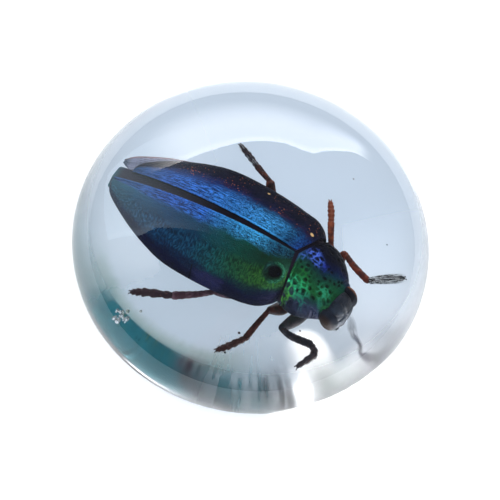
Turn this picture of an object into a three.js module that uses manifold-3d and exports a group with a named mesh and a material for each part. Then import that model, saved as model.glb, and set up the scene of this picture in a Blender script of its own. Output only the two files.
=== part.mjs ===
// A jewel beetle sealed in a clear, round, domed resin block.
//
// Millimetres, +Z up. The origin is the centre of the flat that the block rests on, and the
// beetle faces +X. The clear block is parted in two at its widest height, so that the pocket
// that holds the beetle opens on the parting faces.
import * as THREE from 'three';
import { mergeVertices } from 'three/addons/utils/BufferGeometryUtils.js';
import Module from 'manifold-3d';

const wasm = await Module();
wasm.setup();

// ---- Driving dimensions ---------------------------------------------------------------------

const LEFT = 1;
const RIGHT = -1;
const GAP = 0.3; // space kept between any two pieces
const WELD = 1e-4; // vertices closer than this are one vertex

// The block: a superellipse dome over an elliptic underside that is cut off flat at z = 0.
const block = {
  radius: 30,
  waist: 8.25,
  topRise: 14.4,
  topPower: 2.2,
  underDepth: 9,
  sides: 48,
  topSteps: 8,
  underSteps: 6,
};

// The pocket in the block: the room left around the beetle.
const pocket = {
  room: 0.65, headRoom: [2.75, 4.9, 5.2], throat: 0.5, sides: 16, steps: 9,
  legRoom: 0.75, legSides: 5, legSteps: 3,
};

// The beetle's midline, and the turn of its fore body towards its right side.
const beetleLine = { y: -3, neckX: 8.3, neckY: -0.1, turn: THREE.MathUtils.degToRad(-12) };

// Wing cases: distance back from the base, and half width there.
const wingOutline = [[0, 5.7], [0.9, 6.9], [2.9, 8.3], [6.5, 9.05], [12, 9.35], [17.5, 9.0],
  [21.5, 7.8], [25.5, 5.9], [29.3, 3.5], [30.8, 2.1], [31.3, 0.9]];
const wing = {
  thickness: 0.6,
  ridgeTop: 16.5, // height of the back's ridge at its highest
  ridgeAt: 7.5, // distance back from the base of that highest place
  ridgeFall: 0.0095, // fall of the ridge per square millimetre from there
  edgeAtBase: 9.0, // height of the outer edge at the base
  edgeSlope: 0.04, // rise of the outer edge towards the tip
  roundness: 0.9,
  baseCurve: 1.4, // how the base edge bends between the suture and the shoulder
  along: 20,
  across: 6,
};
// Each wing case: where its base is, how far its base slants to the suture, how the inner
// edges part, and how much narrower it looks past the shoulder (slim). The left case has
// slid forward, swung open a little and tucked its outer edge in.
const wingCases = {
  left: { side: LEFT, baseX: 10.6, slant: 2.7, openAtBase: 0.3, openSlope: 0.043, slim: 0.09 },
  right: { side: RIGHT, baseX: 8.5, slant: 0.7, openAtBase: 0.1, openSlope: 0.006, slim: 0 },
};
const shoulderLength = 5;
// The deep round pit near the base of each wing case.
const pit = { along: 0.155, angle: THREE.MathUtils.degToRad(34), radius: 1.3, depth: 0.38 };

// The body under the wing cases.
const trunk = {
  front: 7.9, length: 30.5, inset: 1.45, depth: 4.4, tailWidth: 1.4, leastCrown: 0.3,
  slip: 2.4, // how much sooner it tapers than a wing case
  sides: 18, steps: 13,
};

// The left hind wing's folded tip, which sticks out past its wing case.
const hindWing = {
  outerEdge: [[-12.5, 7.9], [-16.2, 6.9], [-20.3, 5.2], [-21.9, 4.3], [-22.7, 3.4]],
  innerEdge: [[-12.5, 7.0], [-16.2, 5.2], [-20.5, 2.4], [-21.6, 2.3], [-22.7, 3.0]],
  thickness: 0.3,
  along: 12,
};

// The shield behind the head: distance forward of the neck point, and half width there.
const shieldOutline = [[1.8, 6.0], [2.7, 6.15], [3.9, 6.0], [5.1, 5.45], [6.2, 4.7], [7.2, 3.8]];
const shield = {
  middleLine: 0.25, lobe: 1.75, topAtBase: 15.4, topFall: 0.4, waist: 8.6, under: 5.4,
  roundness: 0.85, sides: 20, steps: 8,
};

// The head, bent down in front of the shield, with a large eye on each side.
const head = { x: 8.95, y: -0.5, z: 8.7, length: 1.45, width: 3.0, height: 3.6 };
const eye = { forward: 0, aside: 2.25, up: 0.5, length: 1.45, width: 1.3, height: 2.2 };
const feeler = { aside: 0.9, radius: 0.26 };

// Legs as stations along each part: x, y from the midline, z, radius.
const legs = {
  leg_hind_right: {
    thigh: [[3.6, -3.8, 3.9, 0.7], [1.6, -6.4, 4.9, 0.95], [-0.5, -8.3, 6.7, 0.6]],
    shin: [[-0.5, -8.3, 6.7, 0.4], [-2.6, -10.0, 6.95, 0.45], [-5.7, -11.85, 7.0, 0.55]],
    foot: [[-5.7, -11.85, 7.0, 0.5], [-9.5, -13.1, 6.8, 0.62], [-11.2, -13.7, 6.5, 0.4]],
  },
  leg_middle_right: {
    thigh: [[9.6, -2.6, 3.7, 0.7], [8.9, -4.9, 4.4, 1.05], [7.65, -7.0, 6.6, 0.6]],
    shin: [[7.65, -7.0, 6.6, 0.42], [7.0, -9.8, 6.6, 0.48], [6.5, -12.2, 6.4, 0.52]],
    foot: [[6.5, -12.2, 6.4, 0.5], [4.9, -14.1, 6.1, 0.6], [3.7, -15.2, 5.8, 0.4]],
  },
  leg_front_right: {
    thigh: [[12.6, -2.6, 3.7, 0.7], [11.4, -5.3, 4.2, 1.0], [10.35, -8.3, 6.2, 0.62]],
    shin: [[10.35, -8.3, 6.2, 0.5], [12.2, -8.5, 6.0, 0.6], [15.1, -7.9, 5.6, 0.6]],
    foot: [[15.1, -7.9, 5.6, 0.55], [16.0, -8.8, 5.4, 0.66], [14.7, -11.2, 5.1, 0.42]],
  },
  leg_hind_left: {
    thigh: [[3.0, 4.4, 4.0, 0.7], [0.9, 7.4, 5.2, 0.95], [-1.5, 11.1, 8.2, 0.68]],
    shin: [[-1.5, 11.1, 8.2, 0.42], [-3.0, 11.7, 8.4, 0.46], [-4.5, 12.45, 8.3, 0.5]],
    foot: [[-4.5, 12.45, 8.3, 0.45], [-6.6, 13.6, 8.2, 0.55], [-8.4, 14.6, 7.8, 0.36]],
  },
  leg_middle_left: {
    thigh: [[8.6, 3.0, 4.0, 0.7], [10.2, 4.6, 5.0, 0.9], [11.2, 6.6, 7.3, 0.6]],
    shin: [[11.2, 6.6, 7.3, 0.42], [10.3, 8.4, 7.8, 0.46], [9.65, 9.8, 7.9, 0.48]],
    foot: [[9.65, 9.8, 7.9, 0.45], [8.9, 11.4, 7.9, 0.56], [8.1, 12.8, 7.7, 0.4]],
  },
  leg_front_left: {
    thigh: [[12.0, 2.0, 3.9, 0.7], [12.8, 4.2, 5.2, 0.85], [13.6, 6.5, 7.15, 0.55]],
    shin: [[13.6, 6.5, 7.15, 0.42], [15.6, 5.4, 7.1, 0.5], [18.3, 4.6, 6.7, 0.5]],
    foot: [[18.3, 4.6, 6.7, 0.45], [20.4, 6.4, 6.5, 0.62], [22.3, 8.1, 6.3, 0.45]],
  },
};
const limb = {
  sides: 6, steps: 5, footSteps: 9, footLobes: 4, lobeDepth: 0.16,
  overlap: 0.35, // how far each part runs past its end stations, into its neighbour
};

// ---- Small helpers --------------------------------------------------------------------------

const lerp = THREE.MathUtils.lerp;

/** Moves every vertex of a closed geometry by a rule, and returns it welded and facing out. */
function sculpt(geometry, rule) {
  const position = geometry.attributes.position;
  const point = new THREE.Vector3();
  for (let i = 0; i < position.count; i += 1) {
    point.fromBufferAttribute(position, i);
    position.setXYZ(i, ...rule(point));
  }
  return facingOut(welded(geometry));
}

/** Keeps only the positions, the shared vertices and the triangles that have some area. */
function welded(geometry) {
  geometry.deleteAttribute('normal');
  geometry.deleteAttribute('uv');
  const merged = mergeVertices(geometry, WELD);
  const corners = Array.from(merged.index.array);
  const kept = [];
  for (let i = 0; i < corners.length; i += 3) {
    const triangle = corners.slice(i, i + 3);
    if (new Set(triangle).size === 3) kept.push(...triangle);
  }
  merged.setIndex(kept);
  return merged;
}

/** Turns the triangles over where the enclosed volume comes out negative. */
function facingOut(geometry) {
  const position = geometry.attributes.position;
  const index = geometry.index;
  const corner = [new THREE.Vector3(), new THREE.Vector3(), new THREE.Vector3()];
  let volume = 0;
  for (let i = 0; i < index.count; i += 3) {
    corner.forEach((c, k) => c.fromBufferAttribute(position, index.getX(i + k)));
    volume += corner[0].dot(corner[1].clone().cross(corner[2]));
  }
  if (volume < 0) {
    for (let i = 0; i < index.count; i += 3) {
      const first = index.getX(i);
      index.setX(i, index.getX(i + 2));
      index.setX(i + 2, first);
    }
  }
  return geometry;
}

/** A closed skin around a line of sections: place(t, angle, r) with t from 0 to 1. */
function loft(sides, steps, place) {
  const drum = new THREE.CylinderGeometry(1, 1, 1, sides, steps);
  return sculpt(drum, (p) => place(0.5 - p.y, Math.atan2(p.z, p.x), Math.hypot(p.x, p.z)));
}

/** An ellipsoid with its own centre and three half sizes. */
function ellipsoid(centre, half, around = 14, down = 9) {
  const ball = new THREE.SphereGeometry(1, around, down);
  return sculpt(ball, (p) => centre.map((c, k) => c + half[k] * p.getComponent(k)));
}

/** A geometry as a solid that can be joined and cut. */
function solid(geometry) {
  const vertProperties = Float32Array.from(geometry.attributes.position.array);
  const triVerts = Uint32Array.from(geometry.index.array);
  return new wasm.Manifold(new wasm.Mesh({ numProp: 3, vertProperties, triVerts }));
}

/** A solid back as a geometry. */
function geometryOf(shape) {
  const result = shape.getMesh();
  const geometry = new THREE.BufferGeometry();
  geometry.setAttribute('position', new THREE.BufferAttribute(result.vertProperties, 3));
  geometry.setIndex(new THREE.BufferAttribute(result.triVerts, 1));
  return geometry;
}

/** Several overlapping geometries joined into one solid. */
function joined(geometries) {
  return geometries.map(solid).reduce((whole, part) => whole.add(part));
}

/** A smooth plane curve through points [x, y]. */
function curveThrough(points) {
  return new THREE.SplineCurve(points.map(([x, y]) => new THREE.Vector2(x, y)));
}

/** A value read off stations [at, value] by straight lines between them. */
function between(stations, at) {
  const next = stations.findIndex(([place]) => place >= at);
  if (next <= 0) return stations[next === 0 ? 0 : stations.length - 1][1];
  const [a, low] = stations[next - 1];
  const [b, high] = stations[next];
  return lerp(low, high, (at - a) / (b - a));
}

// ---- Beetle's back: wing cases, body and hind wing --------------------------------------------

const wingCurve = curveThrough(wingOutline);
const wingLength = wingOutline.at(-1)[0];

/** Height of the back's ridge at a distance back from the wing cases' base. */
const ridgeHeight = (s) => wing.ridgeTop - wing.ridgeFall * (s - wing.ridgeAt) ** 2;

/** Height of the wing cases' outer edge at that distance. */
const edgeHeight = (s) => wing.edgeAtBase + wing.edgeSlope * s;

/**
 * A point on one wing case, from t along it (0 base, 1 tip) and the angle down from the
 * suture, moved out by grow (in by a negative one).
 */
function wingPoint(wingCase, t, angle, grow) {
  const { x: s, y: fullWidth } = wingCurve.getPoint(t);
  const slim = wingCase.slim * THREE.MathUtils.smoothstep(s, 0, shoulderLength);
  const halfWidth = fullWidth * (1 - slim);
  const baseX = wingCase.baseX - wingCase.slant * (1 - Math.sin(angle)) ** wing.baseCurve;
  const tipX = wingCase.baseX - wingLength;
  const x = lerp(baseX, tipX, s / wingLength);
  const open = wingCase.openAtBase + wingCase.openSlope * s;
  const edge = edgeHeight(s);
  const rise = ridgeHeight(s) - edge + grow;
  return [
    x,
    wingCase.side * (open + (halfWidth + grow) * Math.sin(angle)),
    edge + rise * Math.max(Math.cos(angle), 0) ** wing.roundness,
  ];
}

/** One wing case: a thin domed shell with the pit sunk in it. */
function wingCaseGeometry(wingCase) {
  const slab = new THREE.BoxGeometry(1, 1, 1, wing.along, wing.across, 1);
  const shell = sculpt(slab, (p) => {
    const angle = (p.y + 0.5) * (Math.PI / 2);
    return wingPoint(wingCase, p.x + 0.5, angle, (p.z - 0.5) * wing.thickness);
  });
  const surface = new THREE.Vector3(...wingPoint(wingCase, pit.along, pit.angle, 0));
  const above = new THREE.Vector3(...wingPoint(wingCase, pit.along, pit.angle, 1));
  const outward = above.sub(surface).normalize();
  const ballRadius = (pit.radius ** 2 + pit.depth ** 2) / (2 * pit.depth);
  const centre = surface.addScaledVector(outward, ballRadius - pit.depth);
  const ball = ellipsoid(centre.toArray(), Array(3).fill(ballRadius), 18, 12);
  return geometryOf(solid(shell).subtract(solid(ball)));
}

/** Distance along the wing outline that the body's width and height follow. */
const trunkFollows = (t) => t * (trunk.length + trunk.slip);

/** The body that the wing cases cover: thorax and hind body, domed above and round below. */
function trunkGeometry(grow = 0, sides = trunk.sides, steps = trunk.steps) {
  return loft(sides, steps, (t, angle, r) => {
    const s = trunkFollows(t);
    const half = Math.max(between(wingOutline, s) - trunk.inset, trunk.tailWidth) + grow;
    const crown = ridgeHeight(s) - trunk.inset;
    const edge = Math.min(edgeHeight(s), crown - trunk.leastCrown);
    const above = crown - edge + grow;
    const below = trunk.depth * Math.sin(Math.PI * lerp(0.2, 0.97, t)) ** 0.6 + grow;
    const up = Math.sin(angle);
    const height = up > 0 ? above * up ** wing.roundness : below * up;
    return [
      trunk.front - t * trunk.length + grow * (1 - 2 * t),
      half * Math.cos(angle) * r,
      edge + height * r,
    ];
  });
}

/** The folded tip of the left hind wing, a thin blade below the wing case's edge. */
function hindWingGeometry(grow = 0) {
  const [outer, inner] = [hindWing.outerEdge, hindWing.innerEdge].map(curveThrough);
  const blade = new THREE.BoxGeometry(1, 1, 1, hindWing.along, 1, 1);
  return sculpt(blade, (p) => {
    const t = p.x + 0.5;
    const place = p.y > 0 ? outer.getPoint(t) : inner.getPoint(t);
    const edge = edgeHeight(wingCases.left.baseX - place.x);
    return [
      place.x + grow * (1 - 2 * t),
      place.y + grow * 2 * p.y,
      edge - GAP - hindWing.thickness * (0.5 - p.z) + 2 * grow * p.z,
    ];
  });
}

// ---- Fore body: shield and head ---------------------------------------------------------------

const shieldCurve = curveThrough(shieldOutline);

/** The shield: a solid domed cap whose base reaches back in a lobe at the middle. */
function shieldGeometry(grow = 0, sides = shield.sides, steps = shield.steps) {
  return loft(sides, steps, (t, angle, r) => {
    const { x: edgeX, y: halfWidth } = shieldCurve.getPoint(t);
    const lobe = shield.lobe * (1 - Math.abs(Math.cos(angle)) * r) * (1 - t);
    const top = shield.topAtBase - shield.topFall * edgeX * t - shield.waist + grow;
    const under = shield.waist - shield.under + grow;
    const up = Math.sin(angle);
    const height = up > 0 ? top * up ** shield.roundness : under * up;
    return [
      edgeX - lobe + lerp(-grow, grow, t),
      shield.middleLine + (halfWidth + grow) * Math.cos(angle) * r,
      shield.waist + height * r,
    ];
  });
}

/** The head with its two eyes and the two short feelers folded under it. */
function headGeometry() {
  const parts = [ellipsoid([head.x, head.y, head.z], [head.length, head.width, head.height])];
  for (const side of [LEFT, RIGHT]) {
    parts.push(ellipsoid(
      [head.x + eye.forward, head.y + side * eye.aside, head.z + eye.up],
      [eye.length, eye.width, eye.height],
      10,
      7,
    ));
    const aside = head.y + side * feeler.aside;
    parts.push(limbGeometry([
      [head.x + 0.9, aside, head.z - 2.2, feeler.radius],
      [head.x + 0.8, aside + side * 0.4, head.z - 3.4, feeler.radius * 1.2],
      [head.x - 0.6, aside + side * 0.7, head.z - 4.0, feeler.radius],
    ], 5, 5, 0));
  }
  return geometryOf(joined(parts));
}

// ---- Legs -------------------------------------------------------------------------------------

/** A round limb along stations of x, y, z and radius, with lobes where lobes is above 0. */
function limbGeometry(stations, sides, steps, lobes, grow = 0) {
  const path = new THREE.CatmullRomCurve3(stations.map(([x, y, z]) => new THREE.Vector3(x, y, z)));
  const girth = stations.map((station, i) => [i / (stations.length - 1), station[3]]);
  const frames = path.computeFrenetFrames(steps);
  return loft(sides, steps, (t, angle, r) => {
    const ring = Math.round(t * steps);
    const centre = path.getPointAt(t);
    const lobe = lobes > 0 ? limb.lobeDepth * Math.cos(2 * Math.PI * lobes * t) : 0;
    const radius = (between(girth, t) * (1 - lobe) + grow) * r;
    centre.addScaledVector(frames.normals[ring], radius * Math.cos(angle));
    centre.addScaledVector(frames.binormals[ring], radius * Math.sin(angle));
    centre.addScaledVector(frames.tangents[ring], (limb.overlap + grow) * (2 * t - 1));
    return centre.toArray();
  });
}

/** One leg: thigh, shin and lobed foot, joined at the knee and the ankle. */
function legSolid({ thigh, shin, foot }) {
  return joined([
    limbGeometry(thigh, limb.sides, limb.steps, 0),
    limbGeometry(shin, limb.sides, limb.steps, 0),
    limbGeometry(foot, limb.sides, limb.footSteps, limb.footLobes),
  ]);
}

/** The plain room that a leg takes up in the pocket. */
function roomForLeg(leg) {
  return joined(Object.values(leg).map(
    (stations) => limbGeometry(stations, pocket.legSides, pocket.legSteps, 0, pocket.legRoom),
  ));
}

// ---- Scene graph ------------------------------------------------------------------------------

const finishes = {
  resin: { color: '#c9d6e2', roughness: 0.05, metalness: 0, transparent: true, opacity: 0.35 },
  wingCase: { color: '#0f5f8a', roughness: 0.3, metalness: 0.8 },
  shield: { color: '#0d6a52', roughness: 0.4, metalness: 0.8 },
  head: { color: '#3c4a63', roughness: 0.5, metalness: 0.3 },
  body: { color: '#1d1424', roughness: 0.5, metalness: 0.2 },
  membrane: { color: '#8f94a8', roughness: 0.4, metalness: 0 },
  leg: { color: '#4a1f1c', roughness: 0.5, metalness: 0 },
};

/** A named mesh with its own material. */
function piece(name, geometry, finish) {
  const mesh = new THREE.Mesh(geometry, new THREE.MeshStandardMaterial(finishes[finish]));
  mesh.name = name;
  return mesh;
}

/** The beetle's fore body, turned about the neck. */
function foreBody() {
  const group = new THREE.Group();
  group.position.set(beetleLine.neckX, beetleLine.neckY, 0);
  group.rotation.z = beetleLine.turn;
  group.add(piece('pronotum', shieldGeometry(), 'shield'));
  group.add(piece('head', headGeometry(), 'head'));
  return group;
}

/** The whole beetle on its midline. */
function beetle() {
  const group = new THREE.Group();
  group.position.y = beetleLine.y;
  group.add(piece('body', trunkGeometry(), 'body'));
  group.add(piece('wing_case_left', wingCaseGeometry(wingCases.left), 'wingCase'));
  group.add(piece('wing_case_right', wingCaseGeometry(wingCases.right), 'wingCase'));
  group.add(piece('hind_wing_left', hindWingGeometry(), 'membrane'));
  group.add(foreBody());
  for (const [name, leg] of Object.entries(legs)) {
    group.add(piece(name, geometryOf(legSolid(leg)), 'leg'));
  }
  return group;
}

/** The room around the beetle, as one solid in the beetle's own frame. */
function pocketSolid() {
  const { left, right } = wingCases;
  const back = loft(pocket.sides, pocket.steps, (t, angle, r) => {
    const wingCase = r * Math.cos(angle) > WELD ? left : right;
    const fromSuture = Math.asin(Math.min(Math.abs(Math.cos(angle)), 1));
    const [x, y, z] = wingPoint(wingCase, t, fromSuture, pocket.room);
    const edge = edgeHeight(wingCurve.getPoint(t).x);
    const under = (trunk.depth + pocket.room) * Math.sin(angle);
    const height = Math.sin(angle) > 0 ? z - edge : under;
    return [x + pocket.room * (1 - 2 * t), y * r, edge + height * r];
  });
  const foreGroup = foreBody();
  foreGroup.updateMatrix();
  const shieldRoom = shieldGeometry(pocket.room, 12, 5).applyMatrix4(foreGroup.matrix);
  const headRoom = ellipsoid([head.x, head.y, head.z - pocket.throat], pocket.headRoom, 12, 8)
    .applyMatrix4(foreGroup.matrix);
  const trunkRoom = trunkGeometry(pocket.room, 12, 8);
  const hindWingRoom = hindWingGeometry(pocket.room);
  const legRooms = Object.values(legs).map(roomForLeg);
  const rooms = joined([back, shieldRoom, headRoom, trunkRoom, hindWingRoom]);
  return legRooms.reduce((whole, room) => whole.add(room), rooms);
}

/** Half the block: its profile [radius, z] turned about Z, less the pocket and loose slivers. */
function blockHalf(profile, room) {
  const points = profile.map(([radius, z]) => new THREE.Vector2(radius, z));
  const turned = new THREE.LatheGeometry(points, block.sides).rotateX(Math.PI / 2);
  const cut = solid(facingOut(welded(turned))).subtract(room);
  const [largest] = cut.decompose().sort((a, b) => b.volume() - a.volume());
  return geometryOf(largest);
}

/** The two clear halves, parted by the gap at the block's widest height. */
function resinHalves() {
  const room = pocketSolid().translate([0, beetleLine.y, 0]);
  const { radius, waist, topRise, topPower, underDepth } = block;
  const dome = [];
  for (let i = 0; i <= block.topSteps; i += 1) {
    const angle = (i / block.topSteps) * (Math.PI / 2);
    const out = Math.cos(angle) ** (2 / topPower);
    const up = Math.sin(angle) ** (2 / topPower);
    dome.push([i === block.topSteps ? 0 : radius * out, waist + topRise * up]);
  }
  dome[0][1] += GAP;
  const under = [];
  const flatAngle = Math.asin(waist / underDepth);
  for (let i = 0; i <= block.underSteps; i += 1) {
    const angle = flatAngle * (1 - i / block.underSteps);
    under.push([radius * Math.cos(angle), waist - underDepth * Math.sin(angle)]);
  }
  const topProfile = [[0, waist + GAP], ...dome];
  const underProfile = [[0, 0], ...under, [0, waist]];
  return [
    piece('resin_top', blockHalf(topProfile, room), 'resin'),
    piece('resin_bottom', blockHalf(underProfile, room), 'resin'),
  ];
}

const mountedBeetle = new THREE.Group();
mountedBeetle.add(...resinHalves(), beetle());

export default mountedBeetle;
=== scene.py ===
"""A jewel beetle sealed in a clear, round, domed resin block.

Shapes are worked out in millimetres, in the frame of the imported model, and are scaled to metres
when a piece is finished. The beetle faces +X. Its right side is towards -Y.
"""

import logging
import math
import random
from dataclasses import dataclass
from enum import Enum
from typing import Callable, ClassVar, Sequence

import bmesh
import bpy
from mathutils import Matrix, Vector, noise

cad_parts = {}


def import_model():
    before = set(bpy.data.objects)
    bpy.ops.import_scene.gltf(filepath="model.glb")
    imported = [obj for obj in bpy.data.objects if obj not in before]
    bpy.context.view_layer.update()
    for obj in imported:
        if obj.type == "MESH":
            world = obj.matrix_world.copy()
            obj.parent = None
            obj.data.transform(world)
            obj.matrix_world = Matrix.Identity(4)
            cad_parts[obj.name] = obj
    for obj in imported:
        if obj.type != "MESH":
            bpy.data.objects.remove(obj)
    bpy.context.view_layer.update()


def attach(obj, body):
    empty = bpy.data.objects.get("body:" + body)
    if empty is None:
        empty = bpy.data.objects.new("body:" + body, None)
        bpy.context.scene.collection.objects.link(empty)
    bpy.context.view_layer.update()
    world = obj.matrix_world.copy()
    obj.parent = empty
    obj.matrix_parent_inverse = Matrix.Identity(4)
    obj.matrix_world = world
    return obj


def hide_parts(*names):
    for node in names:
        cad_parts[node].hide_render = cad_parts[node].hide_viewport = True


LOG = logging.getLogger("mounted_beetle")
MM = 0.001
ROOT = "root"
UP = Vector((0, 0, 1))

Colour = tuple[float, float, float, float]
Stops = tuple[tuple[float, Colour], ...]
Pair = tuple[float, float]
Spot = tuple[float, float, float]
Station = tuple[float, float, float, float]
Place = Callable[[float, float], Vector]
Chart = Callable[[float, float], tuple[float, float]]


class Side(Enum):
    """The beetle's two sides, as the sign of Y."""

    LEFT = 1
    RIGHT = -1


class Slot(Enum):
    """The material slots that the record names."""

    RESIN = "clear_resin"
    WING_CASE = "wing_case_cuticle"
    SHIELD = "shield_cuticle"
    HEAD = "head_cuticle"
    DARK = "dark_cuticle"
    MEMBRANE = "membrane"
    LEG = "leg_cuticle"


# ---- Plain sums ---------------------------------------------------------------------------------


def lerp(start: float, end: float, share: float) -> float:
    """The value a share of the way from start to end."""
    return start + (end - start) * share


def clamp(value: float, low: float = 0.0, high: float = 1.0) -> float:
    """The value held between low and high."""
    return min(max(value, low), high)


def ease(value: float, low: float, high: float) -> float:
    """A smooth step from 0 at low to 1 at high, which may lie below low."""
    share = clamp((value - low) / (high - low))
    return share * share * (3 - 2 * share)


def hump(value: float, centre: float, width: float) -> float:
    """A bell of height 1 round a centre."""
    return math.exp(-(((value - centre) / width) ** 2))


def rounded(*insets: float) -> float:
    """How wide an end with rounded edges is: 1 with no inset and 0 where one inset is full."""
    return math.prod(math.sqrt(max(1 - inset**2, 0)) for inset in insets)


def tint(red: float, green: float, blue: float) -> Colour:
    """A screen colour, 0 to 255, as the linear colour that a shader takes."""
    parts = [part / 255 for part in (red, green, blue)]
    linear = [p / 12.92 if p <= 0.04045 else ((p + 0.055) / 1.055) ** 2.4 for p in parts]
    return (*linear, 1.0)


def spline(points: Sequence[Sequence[float]], share: float) -> list[float]:
    """A point on a smooth curve through points.

    Args:
        points: the points, each with the same number of values.
        share: 0 at the first point and 1 at the last, the same step for each span.

    Returns:
        The values at that place.
    """
    place = clamp(share) * (len(points) - 1)
    first = min(int(place), len(points) - 2)
    x = place - first
    ring = [points[int(clamp(first + k, 0, len(points) - 1))] for k in (-1, 0, 1, 2)]
    out = []
    for a, b, c, d in zip(*ring):
        slope, next_slope = (c - a) / 2, (d - b) / 2
        bend = -3 * b + 3 * c - 2 * slope - next_slope
        out.append((2 * b - 2 * c + slope + next_slope) * x**3 + bend * x**2 + slope * x + b)
    return out


def heading(points: Sequence[Sequence[float]], share: float) -> Vector:
    """The way, of no set length, in which a smooth curve runs at a share of it."""
    ahead, behind = spline(points, share + 0.02), spline(points, share - 0.02)
    return Vector(ahead[:3]) - Vector(behind[:3])


def between(stations: Sequence[Sequence[float]], at: float) -> float:
    """A value read off stations [at, value] by straight lines between them."""
    for (a, low), (b, high) in zip(stations, stations[1:]):
        if at <= b:
            return lerp(low, high, clamp((at - a) / (b - a)))
    return stations[-1][1]


# ---- Shader maths -------------------------------------------------------------------------------


class Value:
    """A socket of a shader, on which maths is written as plain expressions."""

    def __init__(self, graph: "Graph", socket: bpy.types.NodeSocket) -> None:
        """Keeps the graph that the socket belongs to."""
        self.graph = graph
        self.socket = socket

    def _math(self, operation: str, *others: "Value | float", first: bool = True) -> "Value":
        """Adds one Math node.

        Args:
            operation: the Math node's operation.
            others: the other operands.
            first: whether this value comes before them.

        Returns:
            The node's result.
        """
        operands = (self, *others) if first else (*others, self)
        return self.graph.node(
            "ShaderNodeMath", {"operation": operation}, dict(enumerate(operands))
        )

    def __add__(self, other: "Value | float") -> "Value":
        """The sum."""
        return self._math("ADD", other)

    __radd__ = __add__

    def __sub__(self, other: "Value | float") -> "Value":
        """The difference."""
        return self._math("SUBTRACT", other)

    def __rsub__(self, other: float) -> "Value":
        """The difference, from a number."""
        return self._math("SUBTRACT", other, first=False)

    def __mul__(self, other: "Value | float") -> "Value":
        """The product."""
        return self._math("MULTIPLY", other)

    __rmul__ = __mul__

    def sine(self) -> "Value":
        """The sine of this angle."""
        return self._math("SINE")

    def smooth(self, low: float, high: float) -> "Value":
        """A smooth step from 0 at low to 1 at high, which may lie below low."""
        return self.graph.node(
            "ShaderNodeMapRange",
            {"interpolation_type": "SMOOTHSTEP"},
            {"Value": self, "From Min": low, "From Max": high},
        )

    def within(self, rise: Pair, fall: Pair) -> "Value":
        """A band that rises from 0 to 1 over one span and falls back to 0 over the next."""
        return self.smooth(*rise) * self.smooth(fall[1], fall[0])


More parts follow.
